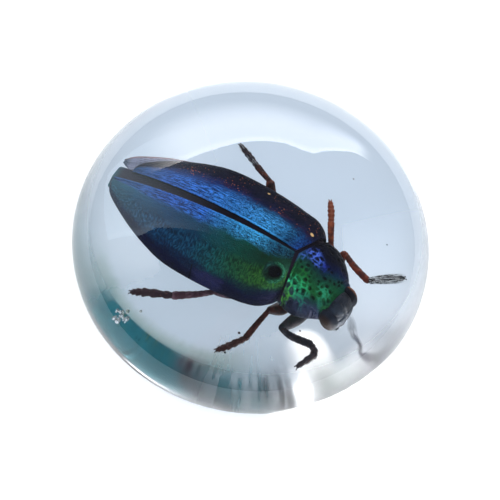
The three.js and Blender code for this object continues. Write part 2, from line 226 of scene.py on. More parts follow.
class Graph:
    """A material and the nodes behind its surface."""

    def __init__(self, name: str) -> None:
        """Starts a material with a plain surface."""
        self.material = bpy.data.materials.new(name)
        self.material.use_nodes = True
        self.tree = self.material.node_tree
        self.shell = self.tree.nodes["Principled BSDF"]

    def node(
        self,
        kind: str,
        settings: dict[str, object] | None = None,
        sockets: dict[int | str, object] | None = None,
        output: int | str = 0,
    ) -> Value:
        """Adds one node.

        Args:
            kind: the node's type.
            settings: what is set on the node first; "stops" is a ramp's list of stops.
            sockets: values or links of its inputs, by name or place.
            output: which of its outputs is wanted.

        Returns:
            That output.
        """
        made = self.tree.nodes.new(kind)
        for key, setting in (settings or {}).items():
            if key == "stops":
                self._set_stops(made.color_ramp, setting)
            else:
                setattr(made, key, setting)
        for key, given in (sockets or {}).items():
            self.feed(made.inputs[key], given)
        return Value(self, made.outputs[output])

    def feed(self, socket: bpy.types.NodeSocket, given: object) -> None:
        """Links a value to a socket, or sets a plain one on it."""
        if isinstance(given, Value):
            self.tree.links.new(given.socket, socket)
        else:
            socket.default_value = given

    @staticmethod
    def _set_stops(ramp: bpy.types.ColorRamp, stops: Stops) -> None:
        """Gives a ramp its stops."""
        while len(ramp.elements) < len(stops):
            ramp.elements.new(1.0)
        for element, (position, colour) in zip(ramp.elements, stops):
            element.position = position
            element.color = colour

    def surface(self, **sockets: object) -> None:
        """Feeds the surface's sockets, named in lower case with underscores."""
        for key, given in sockets.items():
            name = " ".join(word.capitalize() for word in key.split("_"))
            self.feed(self.shell.inputs[name.replace("Ior", "IOR")], given)

    def millimetres(self) -> Value:
        """The place on the object, in millimetres."""
        place = self.node("ShaderNodeTexCoord", output="Object")
        return self.node(
            "ShaderNodeVectorMath", {"operation": "SCALE"}, {0: place, "Scale": 1 / MM}
        )

    def split(self, vector: Value) -> tuple[Value, Value, Value]:
        """The three parts of a vector."""
        first = self.node("ShaderNodeSeparateXYZ", None, {0: vector})
        sockets = first.socket.node.outputs
        return first, Value(self, sockets[1]), Value(self, sockets[2])

    def chart(self) -> tuple[Value, Value]:
        """The two parts of the piece's own map."""
        u, v, _ = self.split(self.node("ShaderNodeUVMap", {"uv_map": "UVMap"}))
        return u, v

    def vector(self, *parts: Value | float) -> Value:
        """A vector of three parts."""
        return self.node("ShaderNodeCombineXYZ", None, dict(enumerate(parts)))

    def reach(self, x: Value, y: Value) -> Value:
        """How far a flat vector reaches."""
        flat = self.vector(x, y, 0.0)
        return self.node("ShaderNodeVectorMath", {"operation": "LENGTH"}, {0: flat}, "Value")

    def bearing(self, x: Value, y: Value) -> Value:
        """The bearing of a flat vector in degrees, from -180 to 180: 0 towards +X, 90 +Y."""
        turn = self.node("ShaderNodeMath", {"operation": "ARCTAN2"}, {0: y, 1: x})
        return turn * (180 / math.pi)

    def marks(self, name: str) -> Value:
        """The numbers that the mesh carries under a name."""
        return self.node("ShaderNodeAttribute", {"attribute_name": name}, output="Fac")

    def noise(self, vector: Value, scale: float, detail: float = 2.0) -> Value:
        """Soft noise, about 0 to 1."""
        return self.node(
            "ShaderNodeTexNoise", None, {"Vector": vector, "Scale": scale, "Detail": detail}
        )

    def cells(self, vector: Value, scale: float) -> Value:
        """The distance to the nearest of many scattered points."""
        return self.node("ShaderNodeTexVoronoi", None, {"Vector": vector, "Scale": scale})

    def ramp(self, value: Value, stops: Stops) -> Value:
        """A colour read off a row of stops."""
        return self.node("ShaderNodeValToRGB", {"stops": stops}, {0: value})

    def mix(self, first: object, second: object, share: Value | float) -> Value:
        """A blend of two colours."""
        settings = {"data_type": "RGBA"}
        return self.node("ShaderNodeMix", settings, {0: share, 6: first, 7: second}, 2)

    def dim(self, colour: Value | Colour, factor: Value | float) -> Value:
        """A colour made brighter or darker."""
        given = colour if isinstance(colour, Value) else colour[:3]
        return self.node(
            "ShaderNodeVectorMath", {"operation": "SCALE"}, {0: given, "Scale": factor}
        )

    def bump(self, height: Value, distance: float) -> Value:
        """A normal for relief whose full height is a distance in millimetres."""
        return self.node(
            "ShaderNodeBump", None, {"Strength": 1.0, "Distance": distance * MM, "Height": height}
        )


# ---- Finishes -----------------------------------------------------------------------------------

COOL_GLEAM: Colour = (0.12, 0.16, 0.3, 1.0)
WHITE: Colour = (1.0, 1.0, 1.0, 1.0)
BLACK: Colour = (0.0, 0.0, 0.0, 1.0)


@dataclass(frozen=True)
class ResinFinish:
    """Clear cast resin with a faint cool tint and a scuffed, partly frosted underside.

    Its marks lie at bearings in degrees round the block and at distances in millimetres.
    """

    ior: float = 1.55
    tone: Colour = (0.70, 0.81, 0.94, 1.0)
    density: float = 8.0
    waist: float = 8.25
    waist_fade: float = 0.8
    under_reach: Pair = (12.5, 14.5)
    polish: float = 0.03
    frost: float = 0.4
    fray: float = 10.0
    brush_relief: float = 0.015
    olive_band: Colour = (0.44, 0.54, 0.36, 1.0)
    olive_band_weight: float = 0.75
    olive_band_depth: float = 2.0
    olive_band_slope: float = 0.06

    def material(self) -> bpy.types.Material:
        """The resin's material, with absorption through its depth."""
        graph = Graph("clear_resin")
        x, y, z = graph.split(graph.millimetres())
        reach = graph.reach(x, y)
        bearing, from_tail = graph.bearing(x, y), graph.bearing(x * -1.0, y)
        frays = (graph.noise(graph.vector(x * 0.5, y * 0.5, 5.0), 1.0) - 0.5) * self.fray
        streaks = graph.noise(graph.vector(bearing * 0.3, reach * 0.16, 2.0), 1.0, 4.0)
        under = z.smooth(self.waist, self.waist - self.waist_fade)
        under = under * reach.smooth(*self.under_reach)

        frosted = (bearing + frays).smooth(-53, -39) * bearing.smooth(60, 30)
        frosted = frosted + (from_tail - frays).smooth(-58, -40) * from_tail.smooth(70, 20)
        brushed = bearing.within((-110, -60), (-44, -34)) * under
        scuffs = brushed * (streaks.smooth(0.42, 0.6) * 0.16 + 0.24)

        # An olive tint in a band on the underside, round the near rear rim.
        inner_edge = reach + (bearing + 99) * self.olive_band_slope + (streaks - 0.5) * 0.9
        olive_band = inner_edge.within((16.9, 18.5), (20.3, 20.9))
        olive_band = olive_band * (bearing + frays).smooth(-158, -134) * bearing.smooth(-54, -80)
        olive_band = olive_band * z.smooth(self.waist, self.waist - self.olive_band_depth)

        graph.surface(
            base_color=graph.mix(WHITE, self.olive_band, olive_band * self.olive_band_weight),
            roughness=under * (frosted * self.frost + self.polish) + scuffs,
            ior=self.ior,
            transmission_weight=1.0,
            normal=graph.bump(streaks * brushed, self.brush_relief),
        )
        volume = graph.node(
            "ShaderNodeVolumeAbsorption", None, {"Color": self.tone, "Density": self.density}
        )
        output = graph.tree.nodes["Material Output"]
        graph.feed(output.inputs["Volume"], volume)
        return graph.material


class WingPatterns:
    """The patterns that a wing case's colours and relief are made from, on its own map."""

    arc: ClassVar[float] = 12.0

    def __init__(self, graph: Graph) -> None:
        """Reads the map, in millimetres back and down from the suture, and lays them out."""
        self.graph = graph
        self.u, v = graph.chart()
        self.along, self.across = self.u * WingForm.length, v * self.arc
        self.side = (v * (math.pi / 2)).sine()
        self.sway = self.noise(0.5, 0.5, 4.0) * 1.6
        self.wander = self.noise(0.3, 0.7, 0.0, 3.0) - 0.5
        self.patches = self.noise(0.55, 0.9, 13.0)
        self.grain = graph.noise(graph.vector(self.along, self.across, 1.0), 7.5, 3.0)
        down, back = self.across + self.sway * 0.5, self.along + self.sway
        self.long_wrinkle = graph.noise(graph.vector(self.along * 1.1, down * 5.5, 3.0), 1.0, 4.0)
        self.cross_wrinkle = graph.noise(graph.vector(back * 4.6, self.across * 1.3, 7.0), 1.0, 4.0)
        self.threads = self.cross_wrinkle.smooth(0.43, 0.62)
        self.low = (self.side + self.wander * 0.1).smooth(0.46, 0.6)
        self.border = self.side + self.wander * 0.2
        self.dots = self.cells(4.2, 0.0).smooth(0.46, 0.2)

    def noise(self, along: float, across: float, seed: float, detail: float = 2.0) -> Value:
        """Soft noise, stretched by a scale along the wing case and one across it."""
        place = self.graph.vector(self.along * along, self.across * across, seed)
        return self.graph.noise(place, 1.0, detail)

    def cells(self, scale: float, seed: float) -> Value:
        """The distance to the nearest of many scattered points."""
        return self.graph.cells(
            self.graph.vector(self.along * scale, self.across * scale, seed), 1.0
        )


@dataclass(frozen=True)
class WingCaseFinish:
    """Metallic cuticle whose colour runs from the suture to the outer margin, with painted light
    and shade.
    """

    name: str
    middle: Stops
    # The stripe's colours: the cuticle's blue, brightened as a painted highlight.
    band: Stops
    # The margin's navy: partly the cuticle's colour, partly painted dark reflection.
    margin: Colour
    band_fade: Pair
    margin_fade: Pair
    green: float = 0.0
    specks: bool = False
    dots: tuple[Spot, ...] = ()
    scuff: float = 0.0
    green_tone: Colour = tint(58, 112, 40)
    blush_tone: Colour = tint(52, 26, 50)
    rust_tone: Colour = tint(200, 118, 66)
    glint_tone: Colour = tint(236, 196, 130)
    bare_tone: Colour = tint(48, 50, 92)
    crack_tone: Colour = tint(6, 8, 18)
    pit_tone: Colour = tint(10, 34, 34)
    pit_rim_tone: Colour = tint(66, 150, 112)
    pit_shade_tone: Colour = tint(4, 6, 12)
    inner_tone: Colour = tint(7, 7, 14)

    def ground(self, on: WingPatterns) -> Value:
        """The middle colours, wrinkled lower down, and the margin's navy, partly painted dark
        reflection.
        """
        graph = on.graph
        colour = graph.ramp(on.u + on.wander * 0.12, self.middle)
        wrinkled = 1.0 + on.low * (on.threads - 0.45)
        colour = graph.dim(colour, (on.patches * 0.4 + 0.8) * wrinkled)
        if self.green:
            patch = on.side.within((0.44, 0.62), (0.78, 0.96)) * on.u.smooth(0.42, 0.05)
            patch = patch * (on.threads * 0.75 + 0.25)
            colour = graph.mix(colour, self.green_tone, patch * self.green)
        # Towards the margin the colour darkens as painted dark reflection, where the metal would
        # mirror the dark room.
        return graph.mix(colour, self.margin, on.border.smooth(*self.margin_fade))

    def shine(self, colour: Value, on: WingPatterns, stripe: Value) -> Value:
        """Adds the bright stripe beside the suture, the cuticle's blue with a painted highlight,
        and the lip, a painted highlight along the suture's edge.

        Args:
            colour: the colour so far.
            on: the wing case's patterns.
            stripe: how far into the stripe a place lies, from 0 to 1.

        Returns:
            The colour, with flecks near the base that turn into lines towards the tip.
        """
        graph = on.graph
        flecks = on.long_wrinkle.smooth(0.42, 0.58) * 0.6 + on.grain.smooth(0.45, 0.6) * 0.75
        down = (on.across + on.sway * 0.3) * 7.0
        fine = graph.noise(graph.vector(on.along * 0.6, down, 8.0), 1.0, 2.0)
        lines = fine.smooth(0.46, 0.56) * 1.5 + 0.1
        flecks = flecks + (lines - flecks) * (on.along.smooth(10.0, 18.0) * 0.8)
        band = graph.ramp(on.u, self.band)
        # Painted highlight: the stripe's blue made bright where the metal would mirror the light.
        colour = graph.mix(colour, graph.dim(band, flecks + 0.12), stripe)
        # Painted highlight along the suture's edge.
        suture_edge_highlight = on.across.within((0.0, 0.12), (0.26, 0.42))
        colour = graph.mix(colour, graph.dim(band, 1.5), suture_edge_highlight * 0.7)
        return graph.dim(colour, 1.0 - on.dots * (0.3 + stripe * 0.4))

    def flaws(self, colour: Value, on: WingPatterns) -> Value:
        """Adds the rusty specks, the pale dots, which are painted glints, and the scuffed margin
        with its crack.
        """
        graph = on.graph
        if self.specks:
            blush = on.patches.smooth(0.5, 0.72) * on.side.within((0.36, 0.5), (0.6, 0.8))
            colour = graph.mix(colour, self.blush_tone, blush * 0.6)
            rust = on.cells(2.2, 5.0).smooth(0.22, 0.1) * on.side.smooth(0.36, 0.5)
            cloud = on.noise(0.3, 0.3, 9.0).smooth(0.4, 0.6)
            colour = graph.mix(colour, self.rust_tone, rust * cloud)
        # Painted glints: small pale spots where light catches two pits.
        for back, down, radius in self.dots:
            away = graph.reach(on.along - back, on.across - down)
            mark = away.smooth(radius * 1.3, radius * 0.7)
            colour = graph.mix(colour, self.glint_tone, mark)
        if self.scuff:
            torn = on.along + on.wander * 4.0
            bare = torn.within((8.0, 9.2), (12.4, 13.6)) * on.border.smooth(0.86, 0.97)
            colour = graph.mix(colour, self.bare_tone, bare * self.scuff)
            crack = on.along + on.side * 3.0
            line = crack.within((16.1, 16.22), (16.3, 16.45)) * on.side.smooth(0.86, 0.9)
            colour = graph.mix(colour, self.crack_tone, line)
        return colour

    def sunk(self, colour: Value, on: WingPatterns) -> Value:
        """Adds the pit, dark teal and deepened to black at its floor by painted shade, with its
        green rim, and the dark inner face of the shell.
        """
        graph = on.graph
        pit = graph.marks("pit")
        colour = graph.mix(colour, self.pit_tone, pit.smooth(0.02, 0.3) * 0.85)
        rim = pit.within((0.02, 0.2), (0.4, 0.66)) * on.along.smooth(2.7, 1.3)
        speckle = on.grain.smooth(0.42, 0.6) * 0.7 + 0.15
        colour = graph.mix(colour, self.pit_rim_tone, rim * speckle)
        # Painted shade at the pit's floor.
        colour = graph.mix(colour, self.pit_shade_tone, pit.smooth(0.66, 0.8))
        return graph.mix(self.inner_tone, colour, graph.marks("open"))

    def material(self) -> bpy.types.Material:
        """The wing case's material, on the piece's own map."""
        graph = Graph(self.name)
        on = WingPatterns(graph)
        # The stripe beside the suture, which carries a painted highlight.
        stripe = on.border.smooth(*self.band_fade)
        colour = self.flaws(self.shine(self.ground(on), on, stripe), on)
        relief = on.grain * 0.25 + on.dots * -0.5 + on.cross_wrinkle * (on.low * 0.8)
        relief = relief + on.long_wrinkle * (stripe * 0.9 + 0.1)
        graph.surface(
            base_color=self.sunk(colour, on),
            metallic=0.72,
            roughness=on.grain * 0.14 + on.low * 0.04 + 0.33,
            specular_ior_level=0.2,
            specular_tint=COOL_GLEAM,
            normal=graph.bump(relief, 0.1),
        )
        return graph.material


@dataclass(frozen=True)
class PaintedGleam:
    """A painted highlight on the shield, where the net between the pits shines."""

    forward: float
    aside: float
    radius: float
    shine: Colour


@dataclass(frozen=True)
class ShieldFinish:
    """Metallic cuticle, zoned across, with painted shade in its pits and painted highlights on the
    net round them in places.
    """

    # The zones run across from the near side to the far side; the far side's near-black is painted
    # shade.
    zones: Stops = (
        (0.07, tint(38, 44, 64)),
        (0.18, tint(44, 54, 76)),
        (0.23, tint(24, 66, 60)),
        (0.30, tint(26, 92, 48)),
        (0.40, tint(24, 86, 54)),
        (0.50, tint(22, 72, 60)),
        (0.57, tint(16, 46, 70)),
        (0.64, tint(12, 22, 58)),
        (0.74, tint(8, 11, 30)),
        (0.93, tint(6, 8, 18)),
    )
    # Painted highlights on the net.
    gleams: tuple[PaintedGleam, ...] = (
        PaintedGleam(1.9, 1.9, 1.15, tint(96, 134, 255)),
        PaintedGleam(3.0, 1.55, 1.0, tint(88, 124, 250)),
        PaintedGleam(0.9, 0.7, 0.8, tint(80, 120, 235)),
        PaintedGleam(4.3, 1.5, 0.7, tint(50, 70, 190)),
        PaintedGleam(2.2, -3.7, 1.3, tint(66, 226, 160)),
        PaintedGleam(3.2, -3.3, 1.5, tint(58, 214, 136)),
        PaintedGleam(2.6, -1.6, 1.1, tint(34, 120, 52)),
        PaintedGleam(1.9, -4.9, 1.1, tint(96, 190, 60)),
        PaintedGleam(4.4, -4.0, 1.1, tint(36, 120, 104)),
        PaintedGleam(6.4, -1.3, 1.2, tint(52, 170, 124)),
        PaintedGleam(7.2, -2.3, 1.0, tint(46, 140, 106)),
        PaintedGleam(8.0, -2.6, 0.9, tint(54, 116, 56)),
    )
    edge: Colour = tint(58, 96, 150)

    def lit(self, graph: Graph, colour: Value, forward: Value, aside: Value) -> Value:
        """Paints highlights on the net between the pits round each gleam.

        Args:
            graph: the material's graph.
            colour: the colour so far.
            forward: distance forward on the shield.
            aside: distance aside on it, larger to the left.

        Returns:
            The colour with the gleams.
        """
        place = graph.millimetres()
        grain = graph.noise(place, 5.0, 3.0)
        flaws = graph.noise(place, 1.6, 3.0).smooth(0.36, 0.56) * 0.8 + 0.2
        sheen = graph.marks("net").smooth(0.1, 0.8) * (grain * 0.9 + 0.2) + 0.05
        for gleam in self.gleams:
            away = graph.reach(forward - gleam.forward, aside - gleam.aside)
            share = away.smooth(gleam.radius * 1.3, gleam.radius * 0.5) * flaws
            colour = graph.mix(colour, gleam.shine, share * sheen)
        return colour

    def material(self) -> bpy.types.Material:
        """The shield's material: zones across it, and the pits and net that the mesh marks."""
        graph = Graph("shield_cuticle")
        u, v = graph.chart()
        forward, aside = u * Shield.chart_length, (v - 0.5) * Shield.chart_width
        place = graph.millimetres()
        grain = graph.noise(place, 5.0, 3.0)
        wander = graph.noise(place, 0.45) - 0.5
        zone = v + wander * 0.12 - forward.smooth(4.5, 7.5) * 0.1
        colour = graph.dim(graph.ramp(zone, self.zones), grain * 0.8 + 0.45)
        # Painted highlight: the raised net between the pits lightened.
        net_highlight = graph.marks("net").smooth(0.1, 0.8) * zone.smooth(0.2, 0.27)
        colour = graph.mix(colour, graph.dim(colour, 2.0), net_highlight * 0.3)
        colour = self.lit(graph, colour, forward, aside)
        # Painted shade in the pits.
        dark = graph.marks("pit").smooth(0.1, 0.6) * (zone.smooth(0.16, 0.26) * 0.7 + 0.3)
        colour = graph.mix(colour, graph.dim(colour, 0.22), dark)
        edge = graph.marks("edge") * aside.smooth(5.0, 2.0) * 0.6
        graph.surface(
            base_color=graph.mix(colour, self.edge, edge),
            metallic=0.65,
            roughness=grain * 0.2 + 0.34,
            specular_ior_level=0.2,
            specular_tint=COOL_GLEAM,
            normal=graph.bump(grain, 0.05),
        )
        return graph.material


@dataclass(frozen=True)
class CuticleFinish:
    """Horny cuticle of one colour range, mottled, worn lighter in places and finely pitted."""

    name: str
    dark: Colour
    light: Colour
    edge: Colour
    metallic: float = 0.1
    roughness: float = 0.42
    scale: float = 1.2
    # The colour of the marked part: a leg's foot, or the head's far side as painted shade.
    foot: Colour = BLACK

    def material(self) -> bpy.types.Material:
        """The cuticle's material on the place in the object."""
        graph = Graph(self.name)
        place = graph.millimetres()
        mottle = graph.noise(place, self.scale, 3.0)
        grain = graph.noise(place, 7.0, 2.0)
        dots = graph.cells(place, 3.4).smooth(0.3, 0.08)
        colour = graph.mix(self.dark, self.light, mottle.smooth(0.35, 0.7))
        colour = graph.mix(colour, graph.dim(self.foot, 0.6 + mottle * 0.8), graph.marks("foot"))
        colour = graph.mix(colour, self.edge, grain.smooth(0.6, 0.76) * 0.7)
        colour = graph.dim(colour, 1.0 - dots * 0.45)
        graph.surface(
            base_color=colour,
            metallic=self.metallic,
            roughness=self.roughness + mottle * 0.18,
            specular_ior_level=0.3,
            normal=graph.bump(grain * 0.5 - dots * 0.6, 0.06),
        )
        return graph.material


@dataclass(frozen=True)
class BodyFinish:
    """Dark above, metallic blue-green with fine pits and golden flecks below."""

    above: Colour = tint(16, 11, 26)
    worn: Colour = tint(42, 28, 54)
    below: Colour = tint(56, 140, 150)
    fleck: Colour = tint(120, 140, 84)

    def material(self) -> bpy.types.Material:
        """The body's material, changing with height."""
        graph = Graph("body_cuticle")
        place = graph.millimetres()
        _, _, height = graph.split(place)
        mottle = graph.noise(place, 0.7, 3.0)
        grain = graph.noise(place, 5.0, 3.0)
        dots = graph.cells(place, 2.4).smooth(0.34, 0.1)
        under = (height + mottle * 1.2).smooth(9.9, 8.6)
        metal = graph.mix(self.below, self.fleck, grain.smooth(0.56, 0.72) * 0.7)
        metal = graph.dim(metal, 0.55 + mottle * 0.9)
        colour = graph.mix(graph.mix(self.above, self.worn, mottle), metal, under)
        graph.surface(
            base_color=graph.dim(colour, 1.0 - dots * 0.25),
            metallic=under * 0.45,
            roughness=0.4 + grain * 0.15,
            specular_ior_level=0.15,
            normal=graph.bump(grain * 0.4 - dots * 0.6, 0.05),
        )
        return graph.material


@dataclass(frozen=True)
class EyeFinish:
    """A compound eye with a fine net of facets, darker towards its rim."""

    name: str
    centre: Colour
    rim: Colour

    def material(self) -> bpy.types.Material:
        """The eye's material."""
        graph = Graph(self.name)
        place = graph.millimetres()
        facets = graph.cells(place, 7.5)
        mottle = graph.noise(place, 1.1)
        colour = graph.mix(self.centre, self.rim, graph.marks("rim").smooth(0.1, 0.75))
        colour = graph.dim(colour, 0.75 + mottle * 0.4)
        graph.surface(
            base_color=colour,
            roughness=0.4 + mottle * 0.2,
            specular_ior_level=0.05,
            normal=graph.bump(facets, 0.03),
        )
        return graph.material


@dataclass(frozen=True)
class MembraneFinish:
    """Thin smoky wing membrane with darker flecks, a dark tip and a warm front edge."""

    film: Colour = tint(126, 128, 158)
    tip: Colour = tint(40, 62, 92)
    rim: Colour = tint(176, 112, 72)
    fleck: Colour = tint(46, 40, 60)

    def material(self) -> bpy.types.Material:
        """The membrane's material, from its root to its tip on the piece's own map."""
        graph = Graph("membrane")
        u, v = graph.chart()
        place = graph.millimetres()
        streak = graph.noise(graph.vector(u * 4.0, v * 16.0, 0.0), 1.0, 3.0)
        colour = graph.mix(self.film, self.tip, (u + streak * 0.1).smooth(0.72, 0.95))
        colour = graph.dim(colour, 0.7 + streak * 0.6)
        colour = graph.mix(colour, self.rim, v.smooth(0.8, 1.0) * 0.6)
        colour = graph.mix(colour, self.fleck, graph.marks("fleck"))
        graph.surface(
            base_color=colour,
            roughness=0.3 + graph.noise(place, 3.0) * 0.2,
            alpha=0.72,
            normal=graph.bump(streak, 0.04),
        )
        return graph.material


@dataclass(frozen=True)
class HairFinish:
    """Stiff pale hairs, silvery where the light takes them."""

    name: str
    root: Colour
    tip: Colour

    def material(self) -> bpy.types.Material:
        """The hairs' material."""
        graph = Graph(self.name)
        mottle = graph.noise(graph.millimetres(), 4.0, 1.0)
        graph.surface(
            base_color=graph.mix(self.root, self.tip, mottle.smooth(0.3, 0.6)),
            roughness=0.3 + mottle * 0.1,
        )
        return graph.material


@dataclass(frozen=True)
class FloorFinish:
    """A plain white tabletop with painted shade under the block, a painted caustic at one side and
    a painted bright spot.
    """

    # Painted shade under the block, lifted by a glow that keeps the beetle's own shadow faint.
    shade: Colour = (0.22, 0.26, 0.31, 1.0)
    shade_glow: Colour = (0.45, 0.52, 0.60, 1.0)
    paper: Colour = (0.95, 0.95, 0.95, 1.0)
    paper_glow: Colour = (0.6, 0.6, 0.6, 1.0)
    # Painted caustic: a strong glow in a sector beside the block, for the light that the dome
    # focuses onto the table.
    painted_caustic: Colour = (10.0, 10.0, 10.0, 1.0)
    caustic_bearings: tuple[Pair, Pair] = ((-57.0, -43.0), (-28.0, -4.0))
    caustic_reach: tuple[Pair, Pair] = ((19.2, 21.0), (31.0, 36.0))
    shade_reach: Pair = (23.5, 32.0)
    # Painted light: a small bright spot on the table under the block's near side.
    patch: Colour = (1.6, 1.6, 1.6, 1.0)
    painted_light_at: tuple[float, float] = (14.4, -10.2)
    painted_light_radius: Pair = (3.9, 2.925)
    painted_light_side: Pair = (-0.4, 4.2)

    def material(self) -> bpy.types.Material:
        """The floor's material."""
        graph = Graph("floor")
        x, y, _ = graph.split(graph.millimetres())
        reach = graph.reach(x, y)
        # Painted caustic beside the block.
        caustic_share = graph.bearing(x, y).within(*self.caustic_bearings)
        caustic_share = caustic_share * reach.within(*self.caustic_reach)
        # Painted light: the small bright spot.
        patch = graph.reach(x - self.painted_light_at[0], y - self.painted_light_at[1])
        patch = patch.smooth(*self.painted_light_radius) * (x + y).smooth(*self.painted_light_side)
        # Painted shade under the block, giving way to the open floor.
        open_floor = reach.smooth(*self.shade_reach)
        glow = graph.mix(self.shade_glow, self.paper_glow, open_floor)
        glow = graph.mix(glow, self.painted_caustic, caustic_share)
        graph.surface(
            base_color=graph.mix(self.shade, self.paper, open_floor),
            roughness=0.9,
            specular_ior_level=0.1,
            emission_color=graph.mix(glow, self.patch, patch),
            emission_strength=1.0,
        )
        return graph.material


@dataclass(frozen=True)
class CardFinish:
    """A glowing light card that fades towards its edges and is brighter along its crest."""

    name: str
    tone: Colour
    radiance: float
    fade_along: Pair
    fade_back: Pair
    fade_up: Pair
    crest_gain: float = 0.35

    def material(self) -> bpy.types.Material:
        """The card's material on its own map."""
        graph = Graph(self.name)
        u, v = graph.chart()
        share = u.smooth(*self.fade_along) * u.smooth(*self.fade_back) * v.smooth(*self.fade_up)
        graph.surface(
            base_color=BLACK,
            roughness=1.0,
            specular_ior_level=0.0,
            emission_color=graph.dim(self.tone, v.smooth(0.9, 0.97) * self.crest_gain + 0.92),
            emission_strength=self.radiance,
            alpha=share,
        )
        return graph.material


@dataclass(frozen=True)
class SmokeFinish:
    """A see-through brownish haze, thin towards its edges and ends."""

    dark: Colour = tint(60, 46, 40)
    light: Colour = tint(92, 96, 112)
    cover: float = 0.6

    def material(self) -> bpy.types.Material:
        """The haze's material on the piece's own map."""
        graph = Graph("smoke")
        u, v = graph.chart()
        wisp = graph.noise(graph.vector(u * 5.0, v * 1.5, 2.0), 1.0, 3.0)
        soft = (v * math.pi).sine() * (u * math.pi).sine()
        graph.surface(
            base_color=graph.mix(self.dark, self.light, wisp.smooth(0.35, 0.65)),
            roughness=0.7,
            specular_ior_level=0.1,
            alpha=soft * wisp.smooth(0.25, 0.55) * self.cover,
        )
        return graph.material


# ---- Building in mesh ---------------------------------------------------------------------------


def placed(name: str, data: bpy.types.ID) -> bpy.types.Object:
    """Puts an object with its data in the scene."""
    made = bpy.data.objects.new(name, data)
    bpy.context.scene.collection.objects.link(made)
    return made


class Form:
    """A mesh under construction, in millimetres."""

    weld: ClassVar[float] = 1e-4

    def __init__(self, *marks: str) -> None:
        """Starts an empty mesh, with number layers under the names given."""
        self.mesh = bmesh.new()
        self.map = self.mesh.loops.layers.uv.new("UVMap")
        self.layers = {name: self.mesh.verts.layers.float.new(name) for name in marks}

    def sheet(
        self, along: int, across: int, place: Place, chart: Chart | None = None
    ) -> list[bmesh.types.BMVert]:
        """Adds an open sheet.

        Args:
            along: how many faces run along it.
            across: how many run across it.
            place: gives the place for two shares from 0 to 1.
            chart: gives the map's place for them, the shares themselves if left out.

        Returns:
            Its vertices.
        """
        made = bmesh.ops.create_grid(
            self.mesh, x_segments=along, y_segments=across, size=0.5, calc_uvs=False
        )["verts"]
        shares = {vertex: (vertex.co.x + 0.5, vertex.co.y + 0.5) for vertex in made}
        for face in {face for vertex in made for face in vertex.link_faces}:
            for loop in face.loops:
                pair = shares[loop.vert]
                loop[self.map].uv = chart(*pair) if chart else pair
        for vertex, pair in shares.items():
            vertex.co = place(*pair)
        return made

    def skin(self, along: int, around: int, place: Place, chart: Chart | None = None) -> None:
        """Adds a closed skin: a sheet whose long edges meet and whose ends run to a point."""
        made = self.sheet(along, around, place, chart)
        bmesh.ops.remove_doubles(self.mesh, verts=made, dist=self.weld)

    def ball(
        self, centre: Vector, half: Vector, around: int = 24, down: int = 16
    ) -> list[bmesh.types.BMVert]:
        """Adds an ellipsoid and returns its vertices."""
        matrix = Matrix.Translation(centre) @ Matrix.Diagonal((*half, 1.0))
        return bmesh.ops.create_uvsphere(
            self.mesh, u_segments=around, v_segments=down, radius=1.0, matrix=matrix
        )["verts"]

    def spike(self, root: Vector, tip: Vector, radius: float, sides: int = 4) -> None:
        """Adds a thin pointed spike.

        Args:
            root: the middle of its thick end.
            tip: its point.
            radius: its radius at the root.
            sides: how many sides it has.
        """
        line = tip - root
        turn = line.to_track_quat("Z", "X").to_matrix().to_4x4()
        bmesh.ops.create_cone(
            self.mesh,
            cap_ends=True,
            segments=sides,
            radius1=radius,
            radius2=radius * 0.15,
            depth=line.length,
            matrix=Matrix.Translation((root + tip) / 2) @ turn,
        )

    def mark(self, name: str, rule: Callable[[Vector], float]) -> None:
        """Fills a number layer from each vertex's place."""
        layer = self.layers[name]
        for vertex in self.mesh.verts:
            vertex[layer] = rule(vertex.co)

    def thicken(self, thickness: float, upward: bool = True) -> None:
        """Gives an open sheet a thickness.

        Args:
            thickness: how thick it gets.
            upward: whether its faces look up and it grows down from them, or the other way.
        """
        mesh = self.mesh
        bmesh.ops.recalc_face_normals(mesh, faces=mesh.faces)
        rise = sum(face.normal.z * face.calc_area() for face in mesh.faces)
        if (rise > 0) != upward:
            bmesh.ops.reverse_faces(mesh, faces=mesh.faces)
        bmesh.ops.solidify(mesh, geom=list(mesh.faces), thickness=thickness)

    def turned(self, matrix: Matrix) -> None:
        """Moves the whole mesh by a matrix."""
        bmesh.ops.transform(self.mesh, matrix=matrix, verts=self.mesh.verts)

    def stand(self, name: str, material: bpy.types.Material) -> bpy.types.Object:
        """Puts the mesh, as it is, in the scene as an object with a material."""
        data = bpy.data.meshes.new(name)
        self.mesh.to_mesh(data)
        self.mesh.free()
        data.materials.append(material)
        return placed(name, data)

    def piece(
        self,
        name: str,
        material: bpy.types.Material,
        slot: Slot,
        replaced: Sequence[str] = (),
        outward: bool = True,
    ) -> bpy.types.Object:
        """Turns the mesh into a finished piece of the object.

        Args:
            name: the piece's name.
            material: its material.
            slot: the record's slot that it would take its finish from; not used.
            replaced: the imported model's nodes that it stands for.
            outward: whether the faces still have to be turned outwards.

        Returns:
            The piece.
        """
        if outward:
            bmesh.ops.recalc_face_normals(self.mesh, faces=self.mesh.faces)
        bmesh.ops.scale(self.mesh, vec=(MM, MM, MM), verts=self.mesh.verts)
        for face in self.mesh.faces:
            face.smooth = True
        made = self.stand(name, material)
        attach(made, ROOT)
        if replaced:
            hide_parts(*replaced)
        LOG.info("%s: %d faces", name, len(made.data.polygons))
        return made


# ---- The block ----------------------------------------------------------------------------------


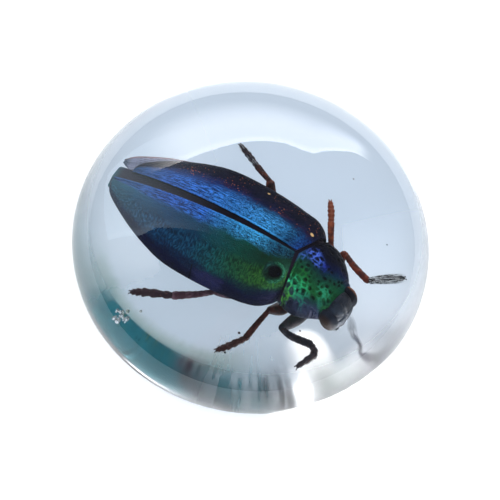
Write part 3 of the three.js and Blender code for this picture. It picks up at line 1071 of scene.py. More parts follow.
@dataclass
class ClearBlock:
    """The clear block: a superellipse dome over an elliptic underside, cut off flat."""

    radius: float = 30.0
    waist: float = 8.25
    top_rise: float = 14.4
    top_power: float = 2.2
    under_depth: float = 9.0
    sides: int = 144
    top_steps: int = 44
    under_steps: int = 30
    froth_at: Spot = (-10.9, -19.3, 4.6)
    froth_half: Spot = (1.2, 0.85, 0.6)
    froth_radii: Pair = (0.1, 0.34)
    froth_gap: float = 0.03
    froth_tries: int = 220
    lone_bubble: Station = (-8.6, -19.1, 7.5, 0.2)

    def bubbles(self) -> list[tuple[Vector, float]]:
        """The places and radii of the bubbles: a patch of froth and one by itself."""
        chance = random.Random("froth")
        *lone, lone_radius = self.lone_bubble
        made = [(Vector(lone), lone_radius)]
        for _ in range(self.froth_tries):
            way = Vector([chance.uniform(-1, 1) for _ in range(3)])
            if way.length > 1:
                continue
            step = Vector([a * b for a, b in zip(way, self.froth_half)])
            spot, radius = Vector(self.froth_at) + step, chance.uniform(*self.froth_radii)
            gap = radius + self.froth_gap
            if all((spot - other).length > size + gap for other, size in made):
                made.append((spot, radius))
        return made

    def profile(self) -> list[Vector]:
        """The outline from the middle of the flat up to the top of the dome."""
        points = [Vector((0, 0, 0))]
        flat_angle = math.asin(self.waist / self.under_depth)
        for step in range(self.under_steps + 1):
            angle = flat_angle * (1 - step / self.under_steps)
            out = self.radius * math.cos(angle)
            points.append(Vector((out, 0, self.waist - self.under_depth * math.sin(angle))))
        for step in range(1, self.top_steps + 1):
            angle = step / self.top_steps * math.pi / 2
            out = self.radius * max(math.cos(angle), 0) ** (2 / self.top_power)
            up = self.top_rise * math.sin(angle) ** (2 / self.top_power)
            points.append(Vector((out if step < self.top_steps else 0, 0, self.waist + up)))
        return points

    def build(self) -> bpy.types.Object:
        """Spins the outline into one clear piece that stands for both halves."""
        form = Form()
        mesh = form.mesh
        points = [mesh.verts.new(point) for point in self.profile()]
        edges = [mesh.edges.new(pair) for pair in zip(points, points[1:])]
        bmesh.ops.spin(
            mesh,
            geom=points + edges,
            cent=(0, 0, 0),
            axis=(0, 0, 1),
            angle=math.tau,
            steps=self.sides,
            use_merge=True,
        )
        bmesh.ops.remove_doubles(mesh, verts=mesh.verts, dist=Form.weld)
        bmesh.ops.recalc_face_normals(mesh, faces=mesh.faces)
        for spot, radius in self.bubbles():
            hollow = form.ball(spot, Vector((radius,) * 3), 20, 12)
            faces = {face for vertex in hollow for face in vertex.link_faces}
            bmesh.ops.reverse_faces(mesh, faces=list(faces))
        made = form.piece(
            "resin_block",
            ResinFinish().material(),
            Slot.RESIN,
            ("resin_top", "resin_bottom"),
            outward=False,
        )
        made.visible_shadow = False
        return made


@dataclass
class Specks:
    """The few dark specks of dust cast into the resin."""

    places: tuple[Station, ...] = (
        (5.5, -15.5, 7.8, 0.17),
        (5.0, -18.8, 7.5, 0.14),
        (13.4, -11.6, 9.8, 0.12),
        (9.5, 15.0, 9.0, 0.1),
        (18.5, 8.0, 8.0, 0.09),
    )

    def build(self) -> bpy.types.Object:
        """Builds the specks as one piece."""
        form = Form()
        for x, y, z, radius in self.places:
            half = Vector((radius * 1.3, radius, radius * 0.8))
            form.ball(Vector((x, y, z)), half, 10, 8)
        finish = CuticleFinish("dust", tint(30, 26, 26), tint(70, 60, 54), tint(96, 80, 66))
        return form.piece("specks", finish.material(), Slot.DARK)


@dataclass
class Smoke:
    """A thin smoky wisp cast into the resin, near the underside."""

    path: tuple[Spot, ...] = (
        (17.4, -2.7, 2.3),
        (18.1, -3.7, 2.3),
        (19.0, -5.1, 2.5),
        (20.3, -5.9, 2.9),
        (21.1, -6.9, 3.2),
        (22.1, -6.7, 3.4),
        (23.1, -5.2, 3.5),
        (23.5, -3.0, 3.4),
    )
    half: float = 0.7
    thickness: float = 0.05

    def build(self) -> bpy.types.Object:
        """Builds the wisp as a thin ribbon of uneven width."""
        form = Form()

        def place(share: float, turn: float) -> Vector:
            """A point a share along the wisp and across it."""
            aside = heading(self.path, share).cross(UP).normalized()
            width = self.half * (0.6 + 0.5 * math.sin(share * 7) ** 2)
            return Vector(spline(self.path, share)) + aside * width * (2 * turn - 1)

        form.sheet(60, 10, place)
        form.thicken(self.thickness, upward=False)
        made = form.piece("smoke", SmokeFinish().material(), Slot.DARK)
        made.visible_shadow = False
        return made


# ---- The back -----------------------------------------------------------------------------------


@dataclass
class WingForm:
    """What both wing cases and the body share: the back's outline and heights."""

    length: ClassVar[float] = 31.3
    midline: float = -3.0
    ridge_top: float = 16.5
    ridge_at: float = 7.5
    ridge_fall: float = 0.0095
    edge_at_base: float = 9.0
    edge_slope: float = 0.04
    roundness: float = 0.9
    outline: tuple[Pair, ...] = (
        (0, 5.7),
        (0.9, 6.9),
        (2.9, 8.3),
        (6.5, 9.05),
        (12, 9.35),
        (17.5, 9.0),
        (21.5, 7.8),
        (25.5, 5.9),
        (29.3, 3.5),
        (30.8, 2.1),
        (31.3, 0.9),
    )

    def ridge(self, back: float) -> float:
        """Height of the back's ridge at a distance back from the wing cases' base."""
        return self.ridge_top - self.ridge_fall * (back - self.ridge_at) ** 2

    def edge(self, back: float) -> float:
        """Height of the wing cases' outer edge at that distance."""
        return self.edge_at_base + self.edge_slope * back


@dataclass
class WingCase(WingForm):
    """One wing case: a thin domed shell with its relief and the pit near its base."""

    side: Side = Side.RIGHT
    base_x: float = 8.5
    slant: float = 0.7
    open_at_base: float = 0.1
    open_slope: float = 0.006
    slim: float = 0.0
    thickness: float = 0.6
    base_curve: float = 1.4
    shoulder: float = 5.0
    pit_along: float = 0.155
    pit_angle: float = math.radians(34)
    pit_radius: float = 1.9
    pit_depth: float = 0.7
    pit_weight: float = 1.0
    pit_lip: float = 0.05
    rim: tuple[Pair, ...] = ((0.2, 0.08), (0.52, -0.09), (0.85, 0.04))
    rim_width: float = 0.14
    rib_height: float = 0.02
    rib_pitch: float = 0.62
    wrinkle_height: float = 0.05
    pebble_height: float = 0.02
    rim_radius: float = 0.12
    sharp_angle: float = 1.0
    along: int = 220
    across: int = 84

    def point(self, share: float, angle: float, grow: float) -> Vector:
        """A point on the wing case.

        Args:
            share: from 0 at the base to 1 at the tip.
            angle: down from the suture.
            grow: how far out of the surface it lies.

        Returns:
            The place in the object's frame.
        """
        back, full_width = spline(self.outline, share)
        half = full_width * (1 - self.slim * ease(back, 0, self.shoulder))
        bend = clamp(1 - math.sin(angle)) ** self.base_curve
        x = lerp(self.base_x - self.slant * bend, self.base_x - self.length, back / self.length)
        edge = self.edge(back)
        rise = self.ridge(back) - edge + grow
        out = self.open_at_base + self.open_slope * back + (half + grow) * math.sin(angle)
        y = self.midline + self.side.value * out
        return Vector((x, y, edge + rise * max(math.cos(angle), 0.0) ** self.roundness))

    def wrinkles(self, back: float, across: float, angle: float) -> float:
        """Height of the rim, ribs, cross wrinkles and pebbling at a place, apart from the pit.

        Args:
            back: distance back from the base.
            across: distance from the suture, along the surface.
            angle: down from the suture.

        Returns:
            The height out of the smooth surface.
        """
        seed = 11.0 * self.side.value
        rim = sum(height * hump(across, at, self.rim_width) for at, height in self.rim)
        sway = 0.9 * noise.noise(Vector((back * 0.25, across * 0.3, seed)))
        broken = ease(noise.noise(Vector((back * 0.3, across * 1.1, 5.0))), -0.2, 0.3)
        ribs = self.rib_height * math.sin(math.tau * (across / self.rib_pitch + sway * 2)) * broken
        ribs *= ease(across, 1.0, 1.6) * ease(across, 5.0, 3.0)
        wave = noise.noise(Vector((back * 2.3 + sway, across * 0.45, seed)))
        low = ease(across, 4.0, 6.0) * ease(angle, 1.5, 1.3)
        cross = self.wrinkle_height * (0.35 - abs(wave)) * low
        pebble = self.pebble_height * noise.noise(Vector((back, across, seed)) * 2.6)
        return (rim + ribs) * ease(back, 0.5, 3.0) + cross + pebble

    def relief(self, share: float, angle: float) -> float:
        """Height of the wrinkles and the pit at a place, out of the smooth surface."""
        back, half = spline(self.outline, share)
        height = self.wrinkles(back, half * angle * 1.25, angle)
        bowl = self.bowl(share, angle)
        away = math.sqrt(1 - bowl) * self.pit_radius if bowl > 0 else math.inf
        height += self.pit_lip * hump(away, self.pit_radius, 0.3) * self.pit_weight
        sunk = 0.35 * bowl + 0.65 * ease(bowl, 0.5, 0.85)
        return height * (1 - bowl * self.pit_weight) - self.pit_depth * self.pit_weight * sunk

    def bowl(self, share: float, angle: float) -> float:
        """How far inside the pit a place lies: 1 at its middle, 0 at its edge and beyond."""
        away = (self.point(share, angle, 0) - self.point(self.pit_along, self.pit_angle, 0)).length
        return clamp(1 - (away / self.pit_radius) ** 2)

    def build(self, finish: WingCaseFinish, name: str) -> bpy.types.Object:
        """Builds the shell from one sheet, thickened inwards, with rounded edges.

        Args:
            finish: the wing case's colours.
            name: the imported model's node that it stands for.

        Returns:
            The piece.
        """
        form = Form("open", "pit")
        quarter = math.pi / 2
        bowls: list[float] = []

        def place(share: float, turn: float) -> Vector:
            """The place of a share along and a share down from the suture."""
            angle = turn * quarter
            bowls.append(self.bowl(share, angle) * self.pit_weight)
            return self.point(share, angle, self.relief(share, angle))

        def chart(share: float, turn: float) -> tuple[float, float]:
            """The map's place: distance back and share down from the suture."""
            return spline(self.outline, share)[0] / self.length, turn

        made = form.sheet(self.along, self.across, place, chart)
        mesh = form.mesh
        for vertex, bowl in zip(made, bowls):
            vertex[form.layers["pit"]] = bowl
        outer = set(mesh.verts)
        form.thicken(self.thickness)
        sharp = [
            edge
            for edge in mesh.edges
            if len(edge.link_faces) == 2 and edge.calc_face_angle(0.0) > self.sharp_angle
        ]
        for vertex in mesh.verts:
            vertex[form.layers["open"]] = float(vertex in outer)
        bmesh.ops.bevel(
            mesh,
            geom=sharp,
            offset=self.rim_radius,
            offset_type="OFFSET",
            affect="EDGES",
            segments=2,
            profile=0.5,
            material=-1,
            clamp_overlap=True,
        )
        return form.piece(f"{name}_shell", finish.material(), Slot.WING_CASE, (name,))


@dataclass
class Trunk(WingForm):
    """The body under the wing cases: thorax and hind body, with plates on its underside."""

    front: float = 7.9
    body_length: float = 30.5
    inset: float = 1.45
    neck_length: float = 3.4
    neck_share: float = 0.1
    depth: float = 4.4
    tail_width: float = 1.9
    tail_shift: float = 0.55
    least_crown: float = 0.3
    slip: float = 2.4
    plates: tuple[float, ...] = (0.2, 0.44, 0.58, 0.69, 0.79, 0.88)
    side_plate: Spot = (8.9, 4.6, 9.4)
    side_plate_half: Spot = (2.0, 1.5, 2.5)
    inset_at_base: float = 0.75
    collar: float = 0.35
    groove_width: float = 0.006
    around: int = 120
    along: int = 170
    cap: float = 0.012

    def furrows(self, at: float, back: float, angle: float) -> float:
        """How much of the underside's depth is left by its grooves, middle line and wrinkles."""
        groove = sum(hump(at, plate, self.groove_width) for plate in self.plates)
        middle = hump(math.cos(angle), 0.0, 0.05) * ease(at, 0.45, 0.35)
        wrinkle = noise.noise(Vector((back * 0.9, angle * 3, 2.0)))
        return (1 - 0.06 * groove - 0.05 * middle) * (1 + 0.02 * wrinkle)

    def place(self, share: float, turn: float) -> Vector:
        """A point of the body: a neck that runs straight forward, and the body proper behind it.

        Args:
            share: from 0 at the front of the neck to 1 at the tail.
            turn: round the body, a share of a full turn from its left edge over its back.

        Returns:
            The place in the object's frame.
        """
        front_end = clamp(1 - share / self.cap)
        back_end = clamp(1 - (1 - share) / self.cap)
        r = rounded(front_end, back_end)
        neck = clamp(1 - share / self.neck_share)
        at = clamp((share - self.neck_share) / (1 - self.neck_share - self.cap))
        back = at * (self.body_length + self.slip)
        inset = lerp(self.inset, self.inset_at_base, ease(back, 3.0, 0.6))
        half = max(between(self.outline, back) - inset, self.tail_width)
        half += self.collar * ease(neck, 0.0, 0.3)
        crown = self.ridge(back) - inset - 0.5 * neck
        edge = min(self.edge(back), crown - self.least_crown)
        below = self.depth * math.sin(math.pi * lerp(0.2, 0.97, at)) ** 0.6
        angle = turn * math.tau
        up = math.sin(angle)
        if up > 0:
            height = (crown - edge) * up**self.roundness
        else:
            height = below * up * self.furrows(at, back, angle)
        x = self.front - at * self.body_length + self.neck_length * neck - 0.4 * back_end
        shift = self.tail_shift * ease(at, 0.8, 1.0)
        return Vector((x, self.midline + shift + half * math.cos(angle) * r, edge + height * r))

    def build(self) -> bpy.types.Object:
        """Builds the body as one closed skin."""
        form = Form()
        form.skin(self.along, self.around, self.place)
        for side in Side:
            x, aside, height = self.side_plate
            spot = Vector((x, self.midline + side.value * aside, height))
            form.ball(spot, Vector(self.side_plate_half), 40, 28)
        return form.piece("body_shell", BodyFinish().material(), Slot.DARK, ("body",))


@dataclass
class HindWing(WingForm):
    """The folded tip of the left hind wing, below the wing case's edge."""

    outer: tuple[Pair, ...] = (
        (-12.5, 7.9),
        (-16.2, 6.9),
        (-20.3, 5.2),
        (-21.9, 4.3),
        (-22.7, 3.4),
    )
    inner: tuple[Pair, ...] = (
        (-12.5, 7.0),
        (-16.2, 5.2),
        (-20.5, 2.4),
        (-21.6, 2.3),
        (-22.7, 3.0),
    )
    base_x: float = 10.6
    gap: float = 0.3
    thickness: float = 0.18
    veins: tuple[float, ...] = (0.16, 0.5, 0.93)
    vein_width: float = 0.03
    vein_height: float = 0.07
    fleck_beat: int = 41
    along: int = 110
    across: int = 40

    def place(self, share: float, turn: float) -> Vector:
        """A point of the blade's upper face."""
        inner, outer = spline(self.inner, share), spline(self.outer, share)
        x, y = lerp(inner[0], outer[0], turn), lerp(inner[1], outer[1], turn)
        height = self.edge(self.base_x - x) - self.gap
        height += 0.06 * math.sin(turn * 9 + share * 3) * ease(share, 0.0, 0.3)
        rib = self.vein(turn - 0.06 * math.sin(share * 4))
        return Vector((x, self.midline + y, height - 0.08 + self.vein_height * rib))

    def vein(self, turn: float) -> float:
        """How near a share across the blade lies to a vein, 1 on it."""
        return max(hump(turn, vein, self.vein_width) for vein in self.veins)

    def build(self) -> bpy.types.Object:
        """Builds the blade as a sheet given its thickness, its veins raised and flecks over it."""
        form = Form("fleck")
        made = form.sheet(self.along, self.across, self.place)
        for vertex in made:
            beat = (vertex.index % self.fleck_beat) / (self.fleck_beat - 1)
            vertex[form.layers["fleck"]] = self.vein(beat)
        form.thicken(self.thickness)
        return form.piece(
            "hind_wing_blade", MembraneFinish().material(), Slot.MEMBRANE, ("hind_wing_left",)
        )


# ---- Fore body ----------------------------------------------------------------------------------


@dataclass
class ForeBody:
    """The frame that the shield and the head share: turned a little to the right at the neck."""

    neck_x: float = 8.3
    neck_y: float = -3.1
    turn: float = math.radians(-12)

    def matrix(self) -> Matrix:
        """From the fore body's own frame to the object's."""
        return Matrix.Translation((self.neck_x, self.neck_y, 0)) @ Matrix.Rotation(
            self.turn, 4, "Z"
        )


@dataclass
class Shield(ForeBody):
    """The shield behind the head: a domed cap with a net of pits and a rimmed base."""

    chart_length: ClassVar[float] = 10.0
    chart_width: ClassVar[float] = 14.0
    outline: tuple[Pair, ...] = (
        (1.8, 6.0),
        (2.7, 6.15),
        (3.9, 6.0),
        (5.1, 5.45),
        (6.2, 4.7),
        (7.2, 3.8),
    )
    middle_line: float = 0.25
    lobe: float = 1.75
    top_at_base: float = 15.4
    top_fall: float = 0.4
    waist: float = 8.6
    under: float = 5.4
    roundness: float = 0.85
    pit_pitch: float = 0.9
    pit_depth: float = 0.13
    net_height: float = 0.05
    rim_height: float = 0.1
    cap: float = 0.05
    along: int = 130
    around: int = 300

    def smooth_place(self, share: float, turn: float, grow: float) -> Vector:
        """A point on the shield without its relief.

        Args:
            share: from 0 at the base to 1 at the front.
            turn: round the shield, a share of a full turn from its left edge over its top.
            grow: how far out of the surface it lies.

        Returns:
            The place in the fore body's frame.
        """
        back_end = clamp(1 - share / self.cap)
        front_end = clamp(1 - (1 - share) / (2 * self.cap))
        r = rounded(back_end, front_end)
        at = clamp((share - self.cap) / (1 - 3 * self.cap))
        edge_x, half = spline(self.outline, at)
        angle = turn * math.tau
        lobe = self.lobe * (1 - abs(math.cos(angle)) * r) * (1 - at)
        top = self.top_at_base - self.top_fall * edge_x * at - self.waist + grow
        under = self.waist - self.under + grow
        up = math.sin(angle)
        height = top * up**self.roundness if up > 0 else under * up
        return Vector(
            (
                edge_x - lobe + 0.25 * front_end,
                self.middle_line + (half + grow) * math.cos(angle) * r,
                self.waist + height * r,
            )
        )

    def pit(self, spot: Vector) -> tuple[float, float]:
        """Where a place lies in the pattern of pits.

        Args:
            spot: the place, in the fore body's frame.

        Returns:
            How deep in a pit it is, and how high on the net between pits, each 0 to 1.
        """
        sway = 0.3 * noise.noise(spot * 0.7), 0.3 * noise.noise(spot.yzx * 0.7)
        flat = Vector((spot.x + sway[0], spot.y * 1.15 + sway[1], 4.0))
        near, further = noise.voronoi(flat / self.pit_pitch)[0][:2]
        pit = ease(near, 0.36, 0.2)
        return pit, ease(further - near, 0.3, 0.08) * (1 - pit)

    def place(self, share: float, turn: float) -> Vector:
        """A point on the shield with its pits, base rim and groove."""
        spot = self.smooth_place(share, turn, 0)
        pit, net = self.pit(spot)
        away = share - self.cap
        rim = self.rim_height * (hump(away, 0.02, 0.02) - hump(away, 0.07, 0.018))
        field = ease(away, 0.07, 0.12) * ease(share, 0.97, 0.9)
        field *= lerp(0.3, 1, ease(math.sin(turn * math.tau), -0.25, 0.1))
        grow = rim + (self.net_height * net - self.pit_depth * pit) * field
        return self.smooth_place(share, turn, grow)

    def edge(self, spot: Vector) -> float:
        """How near a place lies to the shield's base."""
        width = max(1 - (abs(spot.y - self.middle_line) / 6.2) ** 2, 0)
        line = self.outline[0][0] - self.lobe * math.sqrt(width) ** 0.9
        return ease(spot.x, line + 0.55, line + 0.25)

    def chart(self, share: float, turn: float) -> tuple[float, float]:
        """The map's place: how far forward and how far aside it lies."""
        return self.on_chart(self.smooth_place(share, turn, 0))

    @classmethod
    def on_chart(cls, spot: Vector) -> tuple[float, float]:
        """The map's place for a place in the fore body's frame."""
        return clamp(spot.x / cls.chart_length), clamp(spot.y / cls.chart_width + 0.5)

    def build(self) -> bpy.types.Object:
        """Builds the shield and marks its pits and net for its finish."""
        form = Form("pit", "net", "edge")
        form.skin(self.along, self.around, self.place, self.chart)
        form.mark("edge", self.edge)
        form.mark("pit", lambda spot: self.pit(spot)[0])
        form.mark("net", lambda spot: self.pit(spot)[1])
        form.turned(self.matrix())
        return form.piece("shield", ShieldFinish().material(), Slot.SHIELD, ("pronotum",))


# The eyes get colours by side for how light falls on each: painted light and shade over one eye
# colour.
EYE_COLOURS = {
    Side.RIGHT: (tint(54, 40, 36), tint(34, 40, 54)),
    Side.LEFT: (tint(150, 84, 44), tint(12, 13, 26)),
}


@dataclass
class Head(ForeBody):
    """The head, bent down in front of the shield, its eyes, feelers and jaws."""

    centre: Spot = (8.7, -0.5, 8.7)
    half: Spot = (1.75, 3.1, 3.65)
    eye_aside: float = 2.35
    eye_up: float = 0.6
    eye_half: Spot = (1.55, 1.25, 2.4)
    feeler_aside: float = 0.9
    feeler_half: Spot = (0.2, 0.2, 0.24)
    feeler_joints: int = 9
    nape_shift: Spot = (-1.25, 0.5, 0.15)
    nape_half: Spot = (1.6, 3.6, 3.6)
    pit_pitch: float = 0.55
    pit_depth: float = 0.07
    groove_depth: float = 0.2
    brow_depth: float = 0.14
    pebble_height: float = 0.05

    def capsule(self) -> bpy.types.Object:
        """The head capsule with its middle groove, brow lines and coarse pits, and painted shade on
        its far side.
        """
        form = Form("foot")
        centre, half = Vector(self.centre), Vector(self.half)
        made = form.ball(centre, half, 160, 110)
        for vertex in made:
            way = vertex.co - centre
            outward = Vector((way.x / half.x, way.y / half.y, way.z / half.z))
            groove = self.groove_depth * hump(way.y, 0.0, 0.2) * ease(outward.x, 0.0, 0.5)
            brow_line = hump(way.z, 1.2 - 0.25 * abs(way.y), 0.16)
            brow = self.brow_depth * brow_line * ease(outward.x, 0.1, 0.5)
            nearest = noise.voronoi(vertex.co / self.pit_pitch)[0][0]
            pit = self.pit_depth * ease(nearest, 0.4, 0.15)
            pebble = self.pebble_height * noise.noise(vertex.co * 1.4)
            vertex.co -= outward.normalized() * (groove + brow + pit - pebble)
        # Painted shade: the head darkens towards its far side, on the layer that legs use for their
        # feet.
        form.mark("foot", lambda spot: ease(spot.y, -1.6, 1.2))
        form.turned(self.matrix())
        finish = CuticleFinish(
            "head_cuticle",
            dark=tint(22, 30, 44),
            light=tint(40, 52, 70),
            edge=tint(58, 66, 82),
            metallic=0.35,
            scale=0.7,
            # The far side's painted shade.
            foot=tint(18, 22, 34),
        )
        return form.piece("head_capsule", finish.material(), Slot.HEAD, ("head",))

    def nape(self) -> bpy.types.Object:
        """The back of the head where it slips under the shield, coloured like the shield."""
        centre, shield = Vector(self.centre) + Vector(self.nape_shift), Shield()

        def place(share: float, turn: float) -> Vector:
            """A point from the bottom of the nape to its top, a turn round it."""
            fall, angle = share * math.pi, turn * math.tau
            way = Vector((math.cos(angle), math.sin(angle), 0)) * math.sin(fall)
            way.z = -math.cos(fall)
            return centre + Vector([a * b for a, b in zip(way, self.nape_half)])

        form = Form("pit", "net", "edge")
        form.skin(70, 120, place, lambda share, turn: shield.on_chart(place(share, turn)))
        form.mark("pit", lambda spot: shield.pit(spot)[0] * 0.5)
        form.mark("net", lambda spot: shield.pit(spot)[1])
        form.turned(self.matrix())
        return form.piece("nape", ShieldFinish().material(), Slot.HEAD)

    def eye(self, side: Side) -> bpy.types.Object:
        """One large eye, marked by how near its rim a place lies."""
        form = Form("rim")
        x, y, z = self.centre
        centre = Vector((x, y + side.value * self.eye_aside, z + self.eye_up))
        half = Vector(self.eye_half)
        form.ball(centre, half, 64, 44)
        form.mark("rim", lambda spot: 1 - clamp((spot.y - centre.y) * side.value / half.y))
        form.turned(self.matrix())
        name = f"eye_{side.name.lower()}"
        finish = EyeFinish(name, *EYE_COLOURS[side])
        return form.piece(name, finish.material(), Slot.HEAD)

    def feeler(self, side: Side) -> bpy.types.Object:
        """One short feeler folded under the head, a row of saw-toothed joints."""
        form = Form()
        x, y, z = self.centre
        aside = y + side.value * self.feeler_aside
        path = (
            (x + 0.9, aside, z - 2.2),
            (x + 0.8, aside + side.value * 0.4, z - 3.4),
            (x - 0.6, aside + side.value * 0.7, z - 4.0),
        )
        for joint in range(self.feeler_joints):
            share = (joint + 0.5) / self.feeler_joints
            spot = Vector(spline(path, share))
            half = Vector(self.feeler_half) * (1.1 - 0.35 * share)
            form.ball(spot, half, 12, 8)
            form.spike(spot, spot + Vector((0.1, side.value * 0.34, -0.05)), 0.12, 6)
        form.turned(self.matrix())
        name = f"feeler_{side.name.lower()}"
        finish = CuticleFinish(name, tint(22, 24, 34), tint(58, 60, 78), tint(96, 74, 60))
        return form.piece(name, finish.material(), Slot.HEAD)

    def jaws(self) -> bpy.types.Object:
        """The lip plate and the pair of short curved jaws below the face."""
        form = Form()
        x, y, z = self.centre
        for vertex in form.ball(Vector((x + 0.5, y, z - 3.3)), Vector((0.7, 1.15, 0.5)), 40, 24):
            vertex.co.z += 0.12 * abs(vertex.co.y - y)
        for side in Side:
            root = Vector((x + 0.45, y + side.value * 0.85, z - 3.3))
            tip = Vector((x + 0.65, y + side.value * 0.12, z - 4.2))
            bow = Vector((0, side.value * 0.3, 0))

            def place(share: float, turn: float) -> Vector:
                """A point on the jaw's tapering horn."""
                spot = root.lerp(tip, share) + bow * share * (1 - share)
                girth = 0.42 * math.sqrt(max(share * (1 - share), 0)) * (1.8 - share)
                angle = turn * math.tau
                return spot + Vector((math.cos(angle), math.sin(angle) * 0.7, 0)) * girth

            form.skin(16, 16, place)
        form.turned(self.matrix())
        finish = CuticleFinish("jaw_cuticle", tint(20, 16, 18), tint(62, 34, 24), tint(90, 60, 40))
        return form.piece("jaws", finish.material(), Slot.HEAD)

    def build(self) -> list[bpy.types.Object]:
        """Builds the head and what it carries."""
        made = [self.capsule(), self.nape(), self.jaws()]
        for side in Side:
            made += [self.eye(side), self.feeler(side)]
        return made


# ---- Legs ---------------------------------------------------------------------------------------


@dataclass
class Leg:
    """One leg: a spindle thigh, a slim shin with bristles, and a foot of lobed joints.

    Each part's stations are a centre, sideways from the body's midline, and a radius. Its mesh has
    a number of rings to a millimetre, and some more for its ends.
    """

    name: str
    thigh: tuple[Station, ...]
    shin: tuple[Station, ...]
    foot: tuple[Station, ...]
    finish: CuticleFinish
    hair: HairFinish
    midline: float = -3.0
    overlap: float = 0.35
    joints: int = 5
    slim: float = 1.0
    bristles: int = 70
    foot_hairs: int = 110
    hair_radius: float = 0.022
    brush: int = 0
    brush_radius: float = 0.042
    around: int = 28
    rings: int = 9
    cap_rings: int = 14

    def path(self, stations: Sequence[Station], share: float) -> tuple[Vector, float]:
        """The centre and radius of a part at a share along it."""
        x, y, z, radius = spline(stations, share)
        return Vector((x, y + self.midline, z)), radius

    def frame(self, stations: Sequence[Station], share: float) -> tuple[Vector, Vector, Vector]:
        """The way along a part at a share, and two ways square to it: aside and down."""
        along = heading(stations, share).normalized()
        aside = along.cross(UP).normalized()
        return along, aside, aside.cross(along).normalized() * -1

    def part(
        self, form: Form, stations: Sequence[Station], girth: Callable[[float, float], float]
    ) -> None:
        """Adds one part as a closed skin.

        Args:
            form: the mesh to add it to.
            stations: its centre line and radii.
            girth: scales the radius at a share along and an angle round.
        """
        length = sum(
            (Vector(b[:3]) - Vector(a[:3])).length for a, b in zip(stations, stations[1:])
        )
        reach = self.overlap / length

        def place(share: float, turn: float) -> Vector:
            """The place of a share along and a turn round, run a little past both ends."""
            at = lerp(-reach, 1 + reach, share)
            centre, radius = self.path(stations, at)
            along, aside, down = self.frame(stations, clamp(at))
            centre = centre + along * (at - clamp(at)) * length
            rounding = clamp(1 - min(share, 1 - share) / (1.6 * reach))
            angle = turn * math.tau
            size = radius * math.sqrt(1 - rounding**2) * girth(clamp(at), angle) * self.slim
            return centre + (aside * math.cos(angle) + down * math.sin(angle)) * size

        form.skin(int(self.cap_rings + length * self.rings), self.around, place)

    @staticmethod
    def thigh_girth(share: float, angle: float) -> float:
        """The thigh's swelling, the same all round."""
        return 1 + 0.12 * math.sin(math.pi * share)

    @staticmethod
    def shin_girth(share: float, angle: float) -> float:
        """The shin, a little flattened, with ridges that carry its bristles."""
        ridged = 0.86 + 0.14 * share + 0.09 * abs(math.sin(share * 26)) ** 3
        return ridged * (1 + 0.1 * math.cos(2 * angle))

    def foot_girth(self, share: float, angle: float) -> float:
        """The foot's joints: each widens forwards and drops a lobe underneath."""
        step = (share * self.joints) % 1.0
        lobe = 0.2 * hump(step, 0.7, 0.3) * (1 + 0.5 * max(math.sin(angle), 0))
        neck = hump(step, 0.0, 0.07) + hump(step, 1.0, 0.07)
        ends = ease(share, 0.0, 0.04) * ease(share, 1.0, 0.96)
        return 0.84 + lobe - 0.13 * neck * ends

    def claws(self, form: Form) -> None:
        """Adds a pair of hooked claws at the end of the foot."""
        tip, radius = self.path(self.foot, 1.0)
        along, aside, down = self.frame(self.foot, 1.0)
        for way in (-1, 1):
            root = tip + along * 0.05 + aside * way * radius * 0.3
            knuckle = root + along * 0.42 + aside * way * 0.08
            point = knuckle + along * 0.02 + down * 0.34
            form.spike(root, knuckle, 0.17, 8)
            form.ball(knuckle - along * 0.03, Vector((0.09, 0.09, 0.09)), 10, 8)
            form.spike(knuckle, point, 0.09, 8)

    def hairs(self) -> bpy.types.Object:
        """The bristles of the shin and the soft brush of the foot, as one piece."""
        chance = random.Random(self.name)
        form = Form()
        for stations, count, reach in (
            (self.shin, self.bristles, 0.24),
            (self.foot, self.foot_hairs, 0.3),
            (self.thigh, self.bristles // 3, 0.2),
        ):
            for _ in range(count):
                at = chance.uniform(0.04, 0.98)
                centre, radius = self.path(stations, at)
                along, aside, down = self.frame(stations, at)
                angle = chance.choice((0.0, math.pi)) + chance.gauss(0.25, 0.7)
                out = (aside * math.cos(angle) + down * math.sin(angle)).normalized()
                root = centre + out * radius * 0.7
                way = (out + along * chance.uniform(0.5, 1.1)).normalized()
                tip = root + way * reach * chance.uniform(0.6, 1.25)
                form.spike(root, tip, self.hair_radius, 3)
        for _ in range(self.brush):
            at = chance.uniform(-0.02, 0.8)
            centre, radius = self.path(self.foot, max(at, 0.0))
            along, aside, down = self.frame(self.foot, max(at, 0.0))
            angle = chance.uniform(0, math.tau)
            out = (aside * math.cos(angle) - down * math.sin(angle)).normalized()
            root = centre + out * radius * 1.04
            way = (along + out * chance.uniform(-0.03, 0.1)).normalized()
            form.spike(root, root + way * chance.uniform(0.9, 1.9), self.brush_radius, 3)
        return form.piece(f"{self.name}_hairs", self.hair.material(), Slot.LEG)

    def build(self) -> list[bpy.types.Object]:
        """Builds the leg and its hairs."""
        form = Form("foot")
        self.part(form, self.thigh, self.thigh_girth)
        self.part(form, self.shin, self.shin_girth)
        upper = set(form.mesh.verts)
        self.part(form, self.foot, self.foot_girth)
        self.claws(form)
        for vertex in form.mesh.verts:
            vertex[form.layers["foot"]] = float(vertex not in upper)
        made = form.piece(f"{self.name}_limb", self.finish.material(), Slot.LEG, (self.name,))
        return [made, self.hairs()]


def leg_finish(
    name: str, dark: Colour, light: Colour, edge: Colour, foot: Colour
) -> CuticleFinish:
    """A leg's cuticle, with the colour of its foot."""
    return CuticleFinish(
        f"{name}_cuticle", dark, light, edge, metallic=0.0, roughness=0.4, scale=1.0, foot=foot
    )


